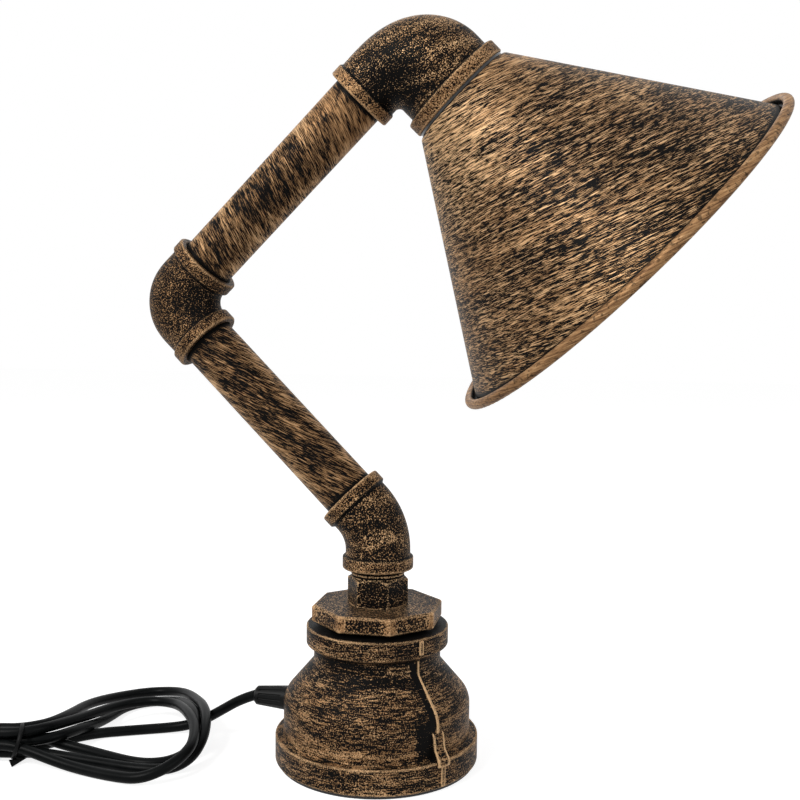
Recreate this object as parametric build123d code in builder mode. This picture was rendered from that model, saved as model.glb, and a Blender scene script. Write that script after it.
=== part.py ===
from build123d import *

import math
import os

# Pipe table lamp: a weighted socket for a foot, two pipe arms with three swivels, and a
# cone shade. All lengths are millimetres. The origin is the centre of the foot pad's
# underside, +Z is up, the arms fold in the XZ plane and the flex leaves towards -X.

# ---------------------------------------------------------------- driving dimensions
running_gap = 0.05  # radial clearance of a swivel
seat_gap = 0.3  # end clearance between pieces that move on each other
close_gap = 0.1  # clearance of pieces that are pushed together

# Arms
arm_lean = 45.0  # lean of each arm from upright, degrees
head_turn = 11.2  # turn of the shade about the upper pipe, degrees
lower_pipe_seen = 105.4  # pipe between the fittings' faces
upper_pipe_seen = 109.8
pipe_radius = 13.45
pipe_wall = 2.35
socket_depth = 13.0
passage_radius = 9.8

# Foot
pad_radius = 49.0
pad_thick = 1.5
foot_band_radius = 50.3
foot_band_top = 14.0
foot_bore = 37.5
foot_bore_depth = 14.5
dome_radius = 46.2
dome_turn_height = 33.4  # where the dome's wall turns inwards
dome_wall = 5.7
neck_radius = 31.4
neck_start_height = 50.6
neck_top_height = 57.0
top_band_radius = 35.1
top_band_bottom = 59.3
top_band_top = 68.4
neck_bore = 24.0
lug_azimuth = -38.0  # the casting's parting line, with a second one opposite
lug_width = 6.0
lug_proud = 1.2
seam_width = 1.2
seam_proud = 0.6
ridge_width = 2.2

# Reducing bushing and nipple
octagon_corner_radius = 32.7
octagon_azimuth = 24.4
octagon_gap = 1.8  # shadow gap between the socket and the octagon
octagon_height = 8.4
octagon_bevel = 0.8
bushing_engagement = 16.4  # thread inside the socket
nipple_corner_radius = 15.2
nipple_azimuth = 3.0
nipple_hex_height = 13.6
nipple_bevel = 1.6
nipple_thread_radius = 13.15
nipple_thread_root = 12.2
nipple_thread_seen = 4.0
thread_pitch = 1.81
nipple_bore = 9.5
nipple_lower_thread = 18.6

# Elbows
fitting_radius = 16.0
bead_radius = 17.5
bead_width = 5.9
bead_round = 0.9
bead_slope = 1.3
elbow_45_reach = 21.0  # corner to face
elbow_45_bend = 29.0
mid_elbow_reach = 28.2
mid_elbow_bend = 12.0  # bend radius of the outer side
mid_elbow_crotch = 6.0  # rounding on the inner side
top_elbow_pipe_reach = 36.1
top_elbow_shade_reach = 33.5
top_elbow_pipe_body = 16.5
top_elbow_shade_body = 24.5
top_elbow_pivot = (27.0, 20.0)  # centre that the bend's sections fan about
top_elbow_bead_radius = 27.6
top_elbow_bead_width = 6.65
holder_bore = 20.5
holder_bore_depth = 24.0
passage_bend = 12.0
passage_overlap = 4.5  # passage cut on into each socket
bend_sections = 6
mouth_bevel = 1.0

# Lampholder
holder_radius = 19.3
holder_wall = 2.0
holder_inside_length = 20.0  # part of the sleeve inside the elbow
holder_outside_length = 14.0
collar_radius = 26.5
collar_thick = 1.5
cap_thick = 3.5
wire_hole_radius = 3.1
core_thick = 8.0
shell_bore = 13.3
shell_wall = 0.9
shell_length = 22.0
contact_radius = 4.0
contact_thick = 1.6
clamp_ring_radius = 24.0
clamp_ring_height = 6.0
clamp_notches = 12
clamp_notch = 3.0

# Shade
shade_sheet = 1.0
shade_hole_gap = 0.2
shade_neck_radius = 28.0
shade_cone_radius = 97.3
shade_cone_depth = 108.0
rim_bead_radius = 2.4
rim_flange = 4.3  # from the cone's edge out to the bead's centre
rim_flange_drop = 0.5
rim_sheet = 1.2

# Bulb
bulb_radius = 30.0
bulb_tip_depth = 95.0
bulb_neck_radius = 12.4
bulb_neck_blend = 35.0
bulb_cap_radius = 13.0
bulb_cap_length = 22.7
bulb_cap_cone = 4.0
bulb_cap_base = 8.0
bulb_skin = 0.8
stem_radius = 2.5
stem_flare_length = 14.0
stem_disc_radius = 8.0
stem_disc_thick = 1.5
filament_radius = 1.0
filament_length = 32.0
filament_circle = 6.0
filament_count = 4

# Flex, gland and wiring
cord_radius = 2.6
wire_radius = 2.6
gland_height = 25.8
gland_root_radius = 6.0
gland_tip_radius = 4.7
gland_length = 17.8
gland_collar = 1.6
gland_tip_bevel = 1.1
gland_shank_radius = 4.6
gland_shank_length = 13.2
gland_bore_gap = 0.15
gland_ribs = 14
gland_rib_groove = 0.55
gland_nut_corner_radius = 6.8
gland_nut_thick = 4.0
ballast_thick = 8.0
wire_loop_reach = 12.0
wire_loop_rise = 18.0
wire_entry_rise = 2.0
wire_bend = 8.0
wire_entry_bend = 14.0
wire_part_setback = 5.0  # from a socket's bottom back to where the wires are parted
inner_flex_bend = 12.0
inner_flex_drop = 11.0
inner_flex_run = 3.0
inner_flex_start = 1.2  # inside the gland's tip
block_length = 17.0
block_width = 24.0
block_height = 12.0
block_poles = 3
block_pitch = 8.0
block_screw_radius = 1.5
block_screw_depth = 4.5
earth_screw_reach = 29.0  # from the stand's axis
earth_screw_radius = 2.0
earth_screw_head = 3.8
earth_screw_head_height = 2.4
earth_screw_depth = 6.0
earth_ring_radius = 4.6
earth_ring_thick = 0.8
earth_barrel_radius = 1.7
earth_barrel_length = 7.0
earth_lead_radius = 1.1

# Hank of flex and its tie
hank_height = 8.0
tie_centre = (-172.0, -48.0)
tie_azimuth = 191.5  # direction of the bundle, degrees
bundle_radius = 8.4
bundle_lift = 9.4
bundle_length = 26.0
tie_width = 4.0
tie_thick = 0.8

# In-line switch
switch_place = (-281.0, -76.0)  # its centre in plan, lying along Y
switch_length = 62.0
switch_width = 26.0
switch_height = 18.0
switch_wall = 2.0
switch_corner = 8.0
rocker_length = 19.0
rocker_width = 10.8
rocker_rise = 4.6
rocker_hub_radius = 2.6
rocker_gap = 1.4  # window clearance along the switch
rocker_travel = 24.0  # degrees from one side pressed to the other
pivot_height = 13.5
pivot_radius = 1.0
pivot_lug = 2.5
contact_width = 5.0
switch_screw_radius = 1.4
switch_screw_head = 2.6
switch_screw_inset = 8.5
switch_screw_sink = 0.3
switch_post_wall = 1.8
switch_lower_round = 1.5
switch_upper_round = 2.0
tongue_thick = 0.8
tongue_foot = 5.0

# Plug
plug_entry = (-243.0, -144.0)  # where the flex goes in, in plan
plug_cord_height = 11.0
plug_length = 50.0
plug_width = 50.0
plug_cover_height = 22.0
plug_base_height = 6.0
plug_wall = 2.5
plug_corner = 10.0
plug_taper_corner = 16.0
pin_setback = 13.0  # first pins behind the flex's side
pin_pitch = 22.2
pin_length = 17.7
earth_pin_length = 22.7
line_pin = (4.0, 6.4)
earth_pin = (8.0, 4.0)
fuse_radius = 3.15
fuse_length = 25.4
plug_screw_radius = 1.8
plug_screw_head = 3.5
plug_screw_head_height = 2.4
plug_screw_well = 3.0
plug_post_wall = 2.2
plug_waist_round = 2.0
plug_lower_round = 2.0
plug_upper_round = 1.0
slot_width = 1.0  # screwdriver slots
slot_depth = 1.1

# ---------------------------------------------------------------- places worked out
lean = math.radians(arm_lean)
turn = math.radians(head_turn)
across = Vector(0, 1, 0)
up = Vector(0, 0, 1)
lower_dir = Vector(-math.sin(lean), 0, math.cos(lean))
upper_dir = Vector(math.sin(lean), 0, math.cos(lean))
level_dir = Vector(math.cos(lean), 0, -math.sin(lean))
shade_dir = level_dir * math.cos(turn) + across * math.sin(turn)

ballast_top = pad_thick + ballast_thick
octagon_bottom = top_band_top + octagon_gap
octagon_top = octagon_bottom + octagon_height
nipple_hex_top = octagon_top + nipple_hex_height
elbow_45_face = nipple_hex_top + nipple_thread_seen

elbow_45_corner = Vector(0, 0, elbow_45_face + elbow_45_reach)
lower_pipe_foot = elbow_45_corner + lower_dir * elbow_45_reach
mid_elbow_lower_face = lower_pipe_foot + lower_dir * lower_pipe_seen
mid_elbow_corner = mid_elbow_lower_face + lower_dir * mid_elbow_reach
mid_elbow_upper_face = mid_elbow_corner + upper_dir * mid_elbow_reach
top_elbow_pipe_face = mid_elbow_upper_face + upper_dir * upper_pipe_seen
top_elbow_corner = top_elbow_pipe_face + upper_dir * top_elbow_pipe_reach
shade_mouth = top_elbow_corner + shade_dir * top_elbow_shade_reach

pipe_bore = pipe_radius - pipe_wall
socket_radius = pipe_radius + running_gap
shade_plane = Plane(origin=shade_mouth, x_dir=-upper_dir, z_dir=(-upper_dir).cross(shade_dir))
shade_axis = Axis(shade_mouth, shade_dir)


def outline(*corners):
    """Closed outline through corners (x, y, rounding), as a face of the sketch in hand."""
    with BuildLine() as border:
        FilletPolyline([c[:2] for c in corners], radius=[c[2] for c in corners], close=True)
    make_face(border.edges())


def square_to(origin, along):
    """Plane through origin whose normal points along."""
    return Plane(origin=origin, z_dir=along)


def turning_plane(origin, along, side):
    """Plane of a turned profile: x is the radius, towards side, and y runs along the axis."""
    return Plane(origin=origin, x_dir=side, z_dir=side.cross(along))


def upright_plane(azimuth):
    """Plane of a profile turned about Z: x points outwards at an azimuth in degrees."""
    angle = math.radians(azimuth)
    outwards = Vector(math.cos(angle), math.sin(angle), 0)
    return turning_plane(Vector(0, 0, 0), up, outwards)


def bead(mouth, inwards, body, radius, width):
    """Bead round a fitting's mouth, solid to the axis and sloping into the body behind it."""
    side = across if abs(inwards.dot(across)) < 0.01 else upper_dir
    with BuildPart() as ring:
        with BuildSketch(turning_plane(mouth, inwards, side)):
            outline(
                (0, 0, 0),
                (radius, 0, bead_round),
                (radius, width, bead_round),
                (body - seat_gap, width + bead_slope, 0),
                (0, width + bead_slope, 0),
            )
        revolve(axis=Axis(mouth, inwards))
    return ring.part


def rod(start, along, radius, length):
    """Plain cylinder from start."""
    with BuildPart() as piece:
        with BuildSketch(square_to(start, along)):
            Circle(radius)
        extrude(amount=length, dir=along)
    return piece.part


def mouth(face, inwards, radius, depth):
    """Socket with a bevelled lip, to be cut from a fitting."""
    side = across if abs(inwards.dot(across)) < 0.01 else upper_dir
    with BuildPart() as hollow:
        with BuildSketch(turning_plane(face, inwards, side)):
            outline(
                (0, -1, 0),
                (radius + mouth_bevel + 1, -1, 0),
                (radius, mouth_bevel, 0),
                (radius, depth, 0),
                (0, depth, 0),
            )
        revolve(axis=Axis(face, inwards))
    return hollow.part


def bend_radii(route):
    """Largest arc at each corner of a flex's route that its two runs allow."""
    radii = []
    for before, corner, after in zip(route, route[1:], route[2:]):
        run_in = Vector(corner) - Vector(before)
        run_out = Vector(after) - Vector(corner)
        half_turn = math.radians(run_in.get_angle(run_out)) / 2
        radii.append(0.45 * min(run_in.length, run_out.length) / math.tan(half_turn))
    return radii


def tube(route, radius, radii):
    """Round flex along straight runs joined by tangent arcs."""
    start = Vector(route[0])
    with BuildPart() as flex:
        with BuildLine() as line:
            FilletPolyline(*route, radius=radii)
        with BuildSketch(square_to(start, Vector(route[1]) - start)):
            Circle(radius)
        sweep(path=line.wires()[0])
    return flex.part


def free_flex(name, route):
    """Free flex, with its arcs and its volume printed against section times length."""
    radii = bend_radii(route)
    piece = tube(route, cord_radius, radii)
    with BuildLine() as line:
        FilletPolyline(*route, radius=radii)
    length = line.wires()[0].length
    share = piece.volume / (math.pi * cord_radius**2 * length)
    print(name, "length", round(length, 1), "volume share", round(share, 4))
    print("  radii", [round(r, 1) for r in radii])
    return piece


def fan_plane(corner_plane, pivot, angle, reach):
    """Plane of a bend's section: it holds the pivot's line and its centre is reach away."""
    sine = math.sin(angle)
    cosine = math.cos(angle)
    outwards = -corner_plane.x_dir * sine - corner_plane.y_dir * cosine
    forwards = -corner_plane.x_dir * cosine + corner_plane.y_dir * sine
    centre = corner_plane.from_local_coords((pivot[0], pivot[1], 0)) + outwards * reach
    return Plane(origin=centre, x_dir=outwards, z_dir=forwards)


# ---------------------------------------------------------------- foot
with BuildPart() as foot_pad:
    with BuildSketch(Plane.XZ):
        outline(
            (0, 0, 0),
            (pad_radius, 0, 0.5),
            (pad_radius, pad_thick, 0),
            (0, pad_thick, 0),
        )
    revolve(axis=Axis.Z)
foot_pad.part.label = "foot_pad"
export_step(foot_pad.part, "parts/foot_pad.step")

# The socket's outside, from the wide lower band up to the narrow one, and its inside.
inner_dome = dome_radius - dome_wall
bore_roof = pad_thick + foot_bore_depth
outside = [
    (foot_bore, pad_thick, 0),
    (foot_band_radius, pad_thick, 1.0),
    (foot_band_radius, foot_band_top, 0.8),
    (dome_radius, foot_band_top + 0.6, 0.8),
    (dome_radius, dome_turn_height, 11.0),
    (neck_radius, neck_start_height, 4.0),
    (neck_radius, neck_top_height, 1.5),
    (top_band_radius, top_band_bottom, 1.0),
    (top_band_radius, top_band_top, 0.9),
]
inside = [
    (neck_bore, top_band_top, 0),
    (neck_bore, neck_start_height - 1, 3.0),
    (inner_dome, dome_turn_height, 6.0),
    (inner_dome, bore_roof + 3, 1.0),
    (foot_bore, bore_roof, 0),
]
parting_lines = (lug_azimuth, lug_azimuth + 180)

with BuildPart() as base_casting:
    with BuildSketch(Plane.XZ):
        outline(*outside, *inside)
    revolve(axis=Axis.Z)
    for azimuth in parting_lines:
        lug_angle = math.degrees(lug_width / dome_radius)
        with BuildSketch(upright_plane(azimuth - lug_angle / 2)):
            outline(
                (dome_radius - 2, foot_band_top - 2, 0),
                (foot_band_radius + lug_proud, foot_band_top - 2, 0),
                (foot_band_radius + lug_proud, foot_band_top + 1, 2.0),
                (dome_radius + lug_proud + 1, foot_band_top + 5, 2.0),
                (dome_radius + lug_proud, dome_turn_height - 8, 2.0),
                (dome_radius - 2, dome_turn_height - 4, 0),
            )
        revolve(axis=Axis.Z, revolution_arc=lug_angle)
        ridge_angle = math.degrees(ridge_width / foot_band_radius)
        with BuildSketch(upright_plane(azimuth - ridge_angle / 2)):
            outline(
                (foot_band_radius - 2, pad_thick + 1, 0),
                (foot_band_radius + seam_proud, pad_thick + 1, 0),
                (foot_band_radius + seam_proud, foot_band_top - 1, 0),
                (foot_band_radius - 2, foot_band_top - 1, 0),
            )
        revolve(axis=Axis.Z, revolution_arc=ridge_angle)
        seam_angle = math.degrees(seam_width / dome_radius)
        with BuildSketch(upright_plane(azimuth - seam_angle / 2)):
            outline(
                (dome_radius - 2, foot_band_top + 4, 0),
                (dome_radius + seam_proud, foot_band_top + 4, 0),
                (dome_radius + seam_proud, dome_turn_height, 11.0),
                (neck_radius + seam_proud, neck_start_height, 4.0),
                (neck_radius + seam_proud, neck_top_height + 1, 0),
                (neck_radius - 2, neck_top_height + 1, 0),
                (neck_radius - 2, neck_start_height - 1, 3.0),
                (dome_radius - 2, dome_turn_height - 1, 9.0),
            )
        revolve(axis=Axis.Z, revolution_arc=seam_angle)
        pad_angle = math.degrees(ridge_width / top_band_radius)
        with BuildSketch(upright_plane(azimuth - pad_angle)):
            outline(
                (top_band_radius - 2, top_band_bottom + 1.5, 0),
                (top_band_radius + seam_proud, top_band_bottom + 1.5, 0),
                (top_band_radius + seam_proud, top_band_top - 1, 0),
                (top_band_radius - 2, top_band_top - 1, 0),
            )
        revolve(axis=Axis.Z, revolution_arc=pad_angle)
    with BuildSketch(square_to(Vector(-dome_radius - 2, 0, gland_height), Vector(1, 0, 0))):
        Circle(gland_shank_radius + close_gap)
    extrude(amount=dome_wall + 6, mode=Mode.SUBTRACT)
base_casting.part.label = "base_casting"
export_step(base_casting.part, "parts/base_casting.step")

with BuildPart() as ballast_disc:
    with BuildSketch(Plane.XY.offset(pad_thick)):
        Circle(foot_bore - close_gap)
    extrude(amount=ballast_thick)
    with BuildSketch(Plane.XY.offset(ballast_top)):
        with Locations((0, earth_screw_reach)):
            Circle(earth_screw_radius + running_gap)
    extrude(amount=-earth_screw_depth, mode=Mode.SUBTRACT)
ballast_disc.part.label = "ballast_disc"
export_step(ballast_disc.part, "parts/ballast_disc.step")

# ---------------------------------------------------------------- bushing and nipple
with BuildPart() as octagon_bushing:
    with BuildSketch(Plane.XY.offset(octagon_bottom)):
        RegularPolygon(octagon_corner_radius, 8, rotation=octagon_azimuth)
    extrude(amount=octagon_height)
    chamfer(edges().filter_by(Plane.XY), octagon_bevel)
    with BuildSketch(Plane.XY.offset(top_band_top - bushing_engagement)):
        Circle(neck_bore - 0.15)
    extrude(amount=bushing_engagement + octagon_gap)
    with BuildSketch(Plane.XY.offset(top_band_top - bushing_engagement)):
        Circle(nipple_thread_radius + running_gap)
    extrude(amount=bushing_engagement + octagon_gap + octagon_height, mode=Mode.SUBTRACT)
octagon_bushing.part.label = "octagon_bushing"
export_step(octagon_bushing.part, "parts/octagon_bushing.step")

nipple_top = elbow_45_face + socket_depth - seat_gap
groove_starts = [nipple_hex_top + thread_pitch * k for k in range(2)]
with BuildPart() as hex_nipple:
    with BuildSketch(Plane.XY.offset(octagon_top)):
        RegularPolygon(nipple_corner_radius, 6, rotation=nipple_azimuth)
    extrude(amount=nipple_hex_height)
    with BuildSketch(Plane.XZ):
        outline(
            (0, octagon_top - 1, 0),
            (nipple_corner_radius + 1, octagon_top - 1, 0),
            (nipple_corner_radius + 1, nipple_hex_top - nipple_bevel, 0),
            (nipple_corner_radius - nipple_bevel - 1, nipple_hex_top, 0),
            (0, nipple_hex_top, 0),
        )
    revolve(axis=Axis.Z, mode=Mode.INTERSECT)
    with BuildSketch(Plane.XY.offset(octagon_top - nipple_lower_thread)):
        Circle(nipple_thread_radius)
    extrude(amount=nipple_top - octagon_top + nipple_lower_thread)
    for start in groove_starts:
        with BuildSketch(Plane.XZ):
            outline(
                (nipple_thread_radius + 1, start + 0.1, 0),
                (nipple_thread_root, start + 0.5, 0),
                (nipple_thread_root, start + thread_pitch - 0.7, 0),
                (nipple_thread_radius + 1, start + thread_pitch - 0.3, 0),
            )
        revolve(axis=Axis.Z, mode=Mode.SUBTRACT)
    with BuildSketch(Plane.XY.offset(octagon_top - nipple_lower_thread)):
        Circle(nipple_bore)
    extrude(amount=nipple_top - octagon_top + nipple_lower_thread, mode=Mode.SUBTRACT)
hex_nipple.part.label = "hex_nipple"
export_step(hex_nipple.part, "parts/hex_nipple.step")

# ---------------------------------------------------------------- elbows and pipes
elbow_45_foot = elbow_45_corner - up * elbow_45_reach
elbow_45_passage = [
    elbow_45_corner - up * (elbow_45_reach - socket_depth + passage_overlap),
    elbow_45_corner,
    elbow_45_corner + lower_dir * (elbow_45_reach - socket_depth + passage_overlap),
]
with BuildPart() as elbow_45:
    with BuildLine():
        FilletPolyline(elbow_45_foot, elbow_45_corner, lower_pipe_foot, radius=elbow_45_bend)
    with BuildSketch(square_to(elbow_45_foot, up)):
        Circle(fitting_radius)
    sweep()
    add(bead(elbow_45_foot, up, fitting_radius, bead_radius, bead_width))
    add(bead(lower_pipe_foot, -lower_dir, fitting_radius, bead_radius, bead_width))
    with BuildLine():
        FilletPolyline(*elbow_45_passage, radius=elbow_45_bend)
    with BuildSketch(square_to(elbow_45_passage[0], up)):
        Circle(passage_radius)
    sweep(mode=Mode.SUBTRACT)
    nipple_socket = nipple_thread_radius + running_gap
    add(mouth(elbow_45_foot, up, nipple_socket, socket_depth), mode=Mode.SUBTRACT)
    add(mouth(lower_pipe_foot, -lower_dir, socket_radius, socket_depth), mode=Mode.SUBTRACT)
elbow_45.part.label = "elbow_45"
export_step(elbow_45.part, "parts/elbow_45.step")

lower_pipe_length = lower_pipe_seen + 2 * socket_depth - seat_gap
lower_pipe_start = lower_pipe_foot - lower_dir * socket_depth
with BuildPart() as lower_pipe:
    with BuildSketch(square_to(lower_pipe_start, lower_dir)):
        Circle(pipe_radius)
        Circle(pipe_bore, mode=Mode.SUBTRACT)
    extrude(amount=lower_pipe_length)
lower_pipe.part.label = "lower_pipe"
export_step(lower_pipe.part, "parts/lower_pipe.step")

mid_corner = Plane(origin=mid_elbow_corner, x_dir=-lower_dir, z_dir=(-lower_dir).cross(upper_dir))
mid_pivot = (mid_elbow_crotch + fitting_radius, mid_elbow_crotch + fitting_radius)
mid_outer = mid_elbow_bend + fitting_radius


def mid_outer_reach(angle):
    """Distance from the crotch's pivot to the middle elbow's outer side."""
    offset = mid_pivot[0] - mid_elbow_bend
    straight = (mid_pivot[0] + fitting_radius) / max(math.cos(angle), math.sin(angle))
    if offset >= straight * min(math.cos(angle), math.sin(angle)):
        return straight
    lead = offset * (math.sin(angle) + math.cos(angle))
    return lead + math.sqrt(lead**2 - 2 * offset**2 + mid_outer**2)


with BuildPart() as mid_elbow:
    for step in range(bend_sections + 1):
        angle = math.radians(90 * step / bend_sections)
        half_width = (mid_outer_reach(angle) - mid_elbow_crotch) / 2
        reach = mid_elbow_crotch + half_width
        with BuildSketch(fan_plane(mid_corner, mid_pivot, angle, reach)):
            Ellipse(half_width, fitting_radius)
    loft()
    leg_start = mid_elbow_reach - mid_pivot[0]
    add(rod(mid_elbow_lower_face, lower_dir, fitting_radius, leg_start))
    add(rod(mid_elbow_upper_face, -upper_dir, fitting_radius, leg_start))
    add(bead(mid_elbow_lower_face, lower_dir, fitting_radius, bead_radius, bead_width))
    add(bead(mid_elbow_upper_face, -upper_dir, fitting_radius, bead_radius, bead_width))
    passage_start = mid_elbow_lower_face + lower_dir * (socket_depth - 1)
    passage_end = mid_elbow_upper_face - upper_dir * (socket_depth - 1)
    with BuildLine():
        FilletPolyline(passage_start, mid_elbow_corner, passage_end, radius=passage_bend)
    with BuildSketch(square_to(passage_start, lower_dir)):
        Circle(passage_radius)
    sweep(mode=Mode.SUBTRACT)
    add(mouth(mid_elbow_lower_face, lower_dir, socket_radius, socket_depth), mode=Mode.SUBTRACT)
    add(mouth(mid_elbow_upper_face, -upper_dir, socket_radius, socket_depth), mode=Mode.SUBTRACT)
mid_elbow.part.label = "mid_elbow"
export_step(mid_elbow.part, "parts/mid_elbow.step")

upper_pipe_length = upper_pipe_seen + 2 * socket_depth - seat_gap
upper_pipe_start = mid_elbow_upper_face - upper_dir * socket_depth
with BuildPart() as upper_pipe:
    with BuildSketch(square_to(upper_pipe_start, upper_dir)):
        Circle(pipe_radius)
        Circle(pipe_bore, mode=Mode.SUBTRACT)
    extrude(amount=upper_pipe_length)
upper_pipe.part.label = "upper_pipe"
export_step(upper_pipe.part, "parts/upper_pipe.step")

top_corner = Plane(origin=top_elbow_corner, x_dir=-upper_dir, z_dir=(-upper_dir).cross(shade_dir))
pivot_a, pivot_b = top_elbow_pivot
narrow_reach = (pivot_b - top_elbow_pipe_body, pivot_b + top_elbow_pipe_body)
wide_reach = (pivot_a - top_elbow_shade_body, pivot_a + top_elbow_shade_body)
with BuildPart() as top_elbow:
    for step in range(bend_sections + 1):
        share = step / bend_sections
        swell = 3 * share**2 - 2 * share**3
        inner = narrow_reach[0] + (wide_reach[0] - narrow_reach[0]) * share
        outer = narrow_reach[1] + (wide_reach[1] - narrow_reach[1]) * swell
        section = fan_plane(top_corner, top_elbow_pivot, math.radians(90 * share), (inner + outer) / 2)
        with BuildSketch(section):
            Circle((outer - inner) / 2)
    loft()
    add(rod(top_elbow_pipe_face, upper_dir, top_elbow_pipe_body, top_elbow_pipe_reach - pivot_a))
    add(rod(shade_mouth, -shade_dir, top_elbow_shade_body, top_elbow_shade_reach - pivot_b))
    add(bead(top_elbow_pipe_face, upper_dir, top_elbow_pipe_body, bead_radius, bead_width))
    add(bead(shade_mouth, -shade_dir, top_elbow_shade_body, top_elbow_bead_radius, top_elbow_bead_width))
    passage_start = top_elbow_pipe_face + upper_dir * (socket_depth - 1)
    passage_end = shade_mouth - shade_dir * (holder_bore_depth - 4)
    with BuildLine():
        FilletPolyline(passage_start, top_elbow_corner, passage_end, radius=passage_bend)
    with BuildSketch(square_to(passage_start, upper_dir)):
        Circle(passage_radius)
    sweep(mode=Mode.SUBTRACT)
    add(mouth(top_elbow_pipe_face, upper_dir, socket_radius, socket_depth), mode=Mode.SUBTRACT)
    add(mouth(shade_mouth, -shade_dir, holder_bore, holder_bore_depth), mode=Mode.SUBTRACT)
top_elbow.part.label = "top_elbow"
export_step(top_elbow.part, "parts/top_elbow.step")

# ---------------------------------------------------------------- lampholder
# Profiles are (radius, depth): the depth runs from the elbow's mouth towards the bulb.
cap_depth = -holder_inside_length - cap_thick
with BuildPart() as holder_cap:
    with BuildSketch(shade_plane):
        outline(
            (wire_hole_radius, cap_depth, 0),
            (holder_radius, cap_depth, 1.5),
            (holder_radius, -holder_inside_length, 0),
            (wire_hole_radius, -holder_inside_length, 0),
        )
    revolve(axis=shade_axis)
holder_cap.part.label = "holder_cap"
export_step(holder_cap.part, "parts/holder_cap.step")

sleeve_bore = holder_radius - holder_wall
with BuildPart() as holder_sleeve:
    with BuildSketch(shade_plane):
        outline(
            (sleeve_bore, -holder_inside_length, 0),
            (holder_radius, -holder_inside_length, 0),
            (holder_radius, 0, 0),
            (collar_radius, 0, 0),
            (collar_radius, collar_thick, 0.4),
            (holder_radius, collar_thick, 0),
            (holder_radius, holder_outside_length, 0.5),
            (sleeve_bore, holder_outside_length, 0.5),
        )
    revolve(axis=shade_axis)
holder_sleeve.part.label = "holder_sleeve"
export_step(holder_sleeve.part, "parts/holder_sleeve.step")

with BuildPart() as holder_ring:
    with BuildSketch(shade_plane):
        outline(
            (holder_radius + running_gap, -holder_inside_length / 2, 0),
            (holder_bore - running_gap, -holder_inside_length / 2, 0),
            (holder_bore - running_gap, -mouth_bevel - seat_gap, 0),
            (holder_radius + running_gap, -mouth_bevel - seat_gap, 0),
        )
    revolve(axis=shade_axis)
holder_ring.part.label = "holder_ring"
export_step(holder_ring.part, "parts/holder_ring.step")

core_depth = core_thick - holder_inside_length
with BuildPart() as holder_core:
    with BuildSketch(shade_plane):
        outline(
            (0, -holder_inside_length, 0),
            (sleeve_bore - close_gap, -holder_inside_length, 0),
            (sleeve_bore - close_gap, core_depth, 0.6),
            (0, core_depth, 0),
        )
    revolve(axis=shade_axis)
holder_core.part.label = "holder_core"
export_step(holder_core.part, "parts/holder_core.step")

with BuildPart() as holder_shell:
    with BuildSketch(shade_plane):
        outline(
            (shell_bore, core_depth, 0),
            (shell_bore + shell_wall, core_depth, 0),
            (shell_bore + shell_wall, core_depth + shell_length, 0.3),
            (shell_bore, core_depth + shell_length, 0),
        )
    revolve(axis=shade_axis)
holder_shell.part.label = "holder_shell"
export_step(holder_shell.part, "parts/holder_shell.step")

with BuildPart() as holder_contact:
    with BuildSketch(shade_plane):
        outline(
            (0, core_depth, 0),
            (contact_radius, core_depth, 0),
            (contact_radius / 2, core_depth + contact_thick, 0.5),
            (0, core_depth + contact_thick, 0),
        )
    revolve(axis=shade_axis)
holder_contact.part.label = "holder_contact"
export_step(holder_contact.part, "parts/holder_contact.step")

clamp_start = collar_thick + shade_sheet
with BuildPart() as shade_ring:
    with BuildSketch(shade_plane):
        outline(
            (holder_radius + running_gap, clamp_start, 0),
            (clamp_ring_radius, clamp_start, 0.6),
            (clamp_ring_radius, clamp_start + clamp_ring_height, 0.6),
            (holder_radius + running_gap, clamp_start + clamp_ring_height, 0),
        )
    revolve(axis=shade_axis)
    with BuildSketch(square_to(shade_mouth + shade_dir * clamp_start, shade_dir)):
        with PolarLocations(clamp_ring_radius + clamp_notch / 3, clamp_notches):
            Circle(clamp_notch / 2)
    extrude(amount=clamp_ring_height, mode=Mode.SUBTRACT)
shade_ring.part.label = "shade_ring"
export_step(shade_ring.part, "parts/shade_ring.step")

# ---------------------------------------------------------------- shade
cone_start = collar_thick + shade_sheet / 2
rim_bead_centre_radius = shade_cone_radius + rim_flange
rim_bead_centre_depth = shade_cone_depth + rim_flange_drop
cone_slope = math.atan2(shade_cone_radius - shade_neck_radius, shade_cone_depth - cone_start)
sheet_across = shade_sheet / math.cos(cone_slope)  # sheet thickness measured along the radius
flange_face = rim_bead_centre_depth + rim_bead_radius
flange_back = flange_face - rim_sheet
with BuildPart() as shade:
    with BuildSketch(shade_plane):
        outline(
            (holder_radius + shade_hole_gap, collar_thick, 0),
            (shade_neck_radius, collar_thick, 2.5),
            (shade_cone_radius, shade_cone_depth, 1.0),
            (shade_cone_radius + 0.6, flange_back, 0),
            (rim_bead_centre_radius, flange_back, 0),
            (rim_bead_centre_radius, flange_face, 0),
            (shade_cone_radius - 0.3, flange_face, 1.5),
            (shade_cone_radius - sheet_across, shade_cone_depth, 3.0),
            (shade_neck_radius - sheet_across + 0.4, collar_thick + shade_sheet, 1.8),
            (holder_radius + shade_hole_gap, collar_thick + shade_sheet, 0),
        )
        with Locations((rim_bead_centre_radius, rim_bead_centre_depth)):
            Circle(rim_bead_radius)
    revolve(axis=shade_axis)
shade.part.label = "shade"
export_step(shade.part, "parts/shade.step")

# ---------------------------------------------------------------- bulb
cap_start = core_depth + contact_thick + seat_gap
cap_end = cap_start + bulb_cap_length
bulb_centre = bulb_tip_depth - bulb_radius


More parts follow.
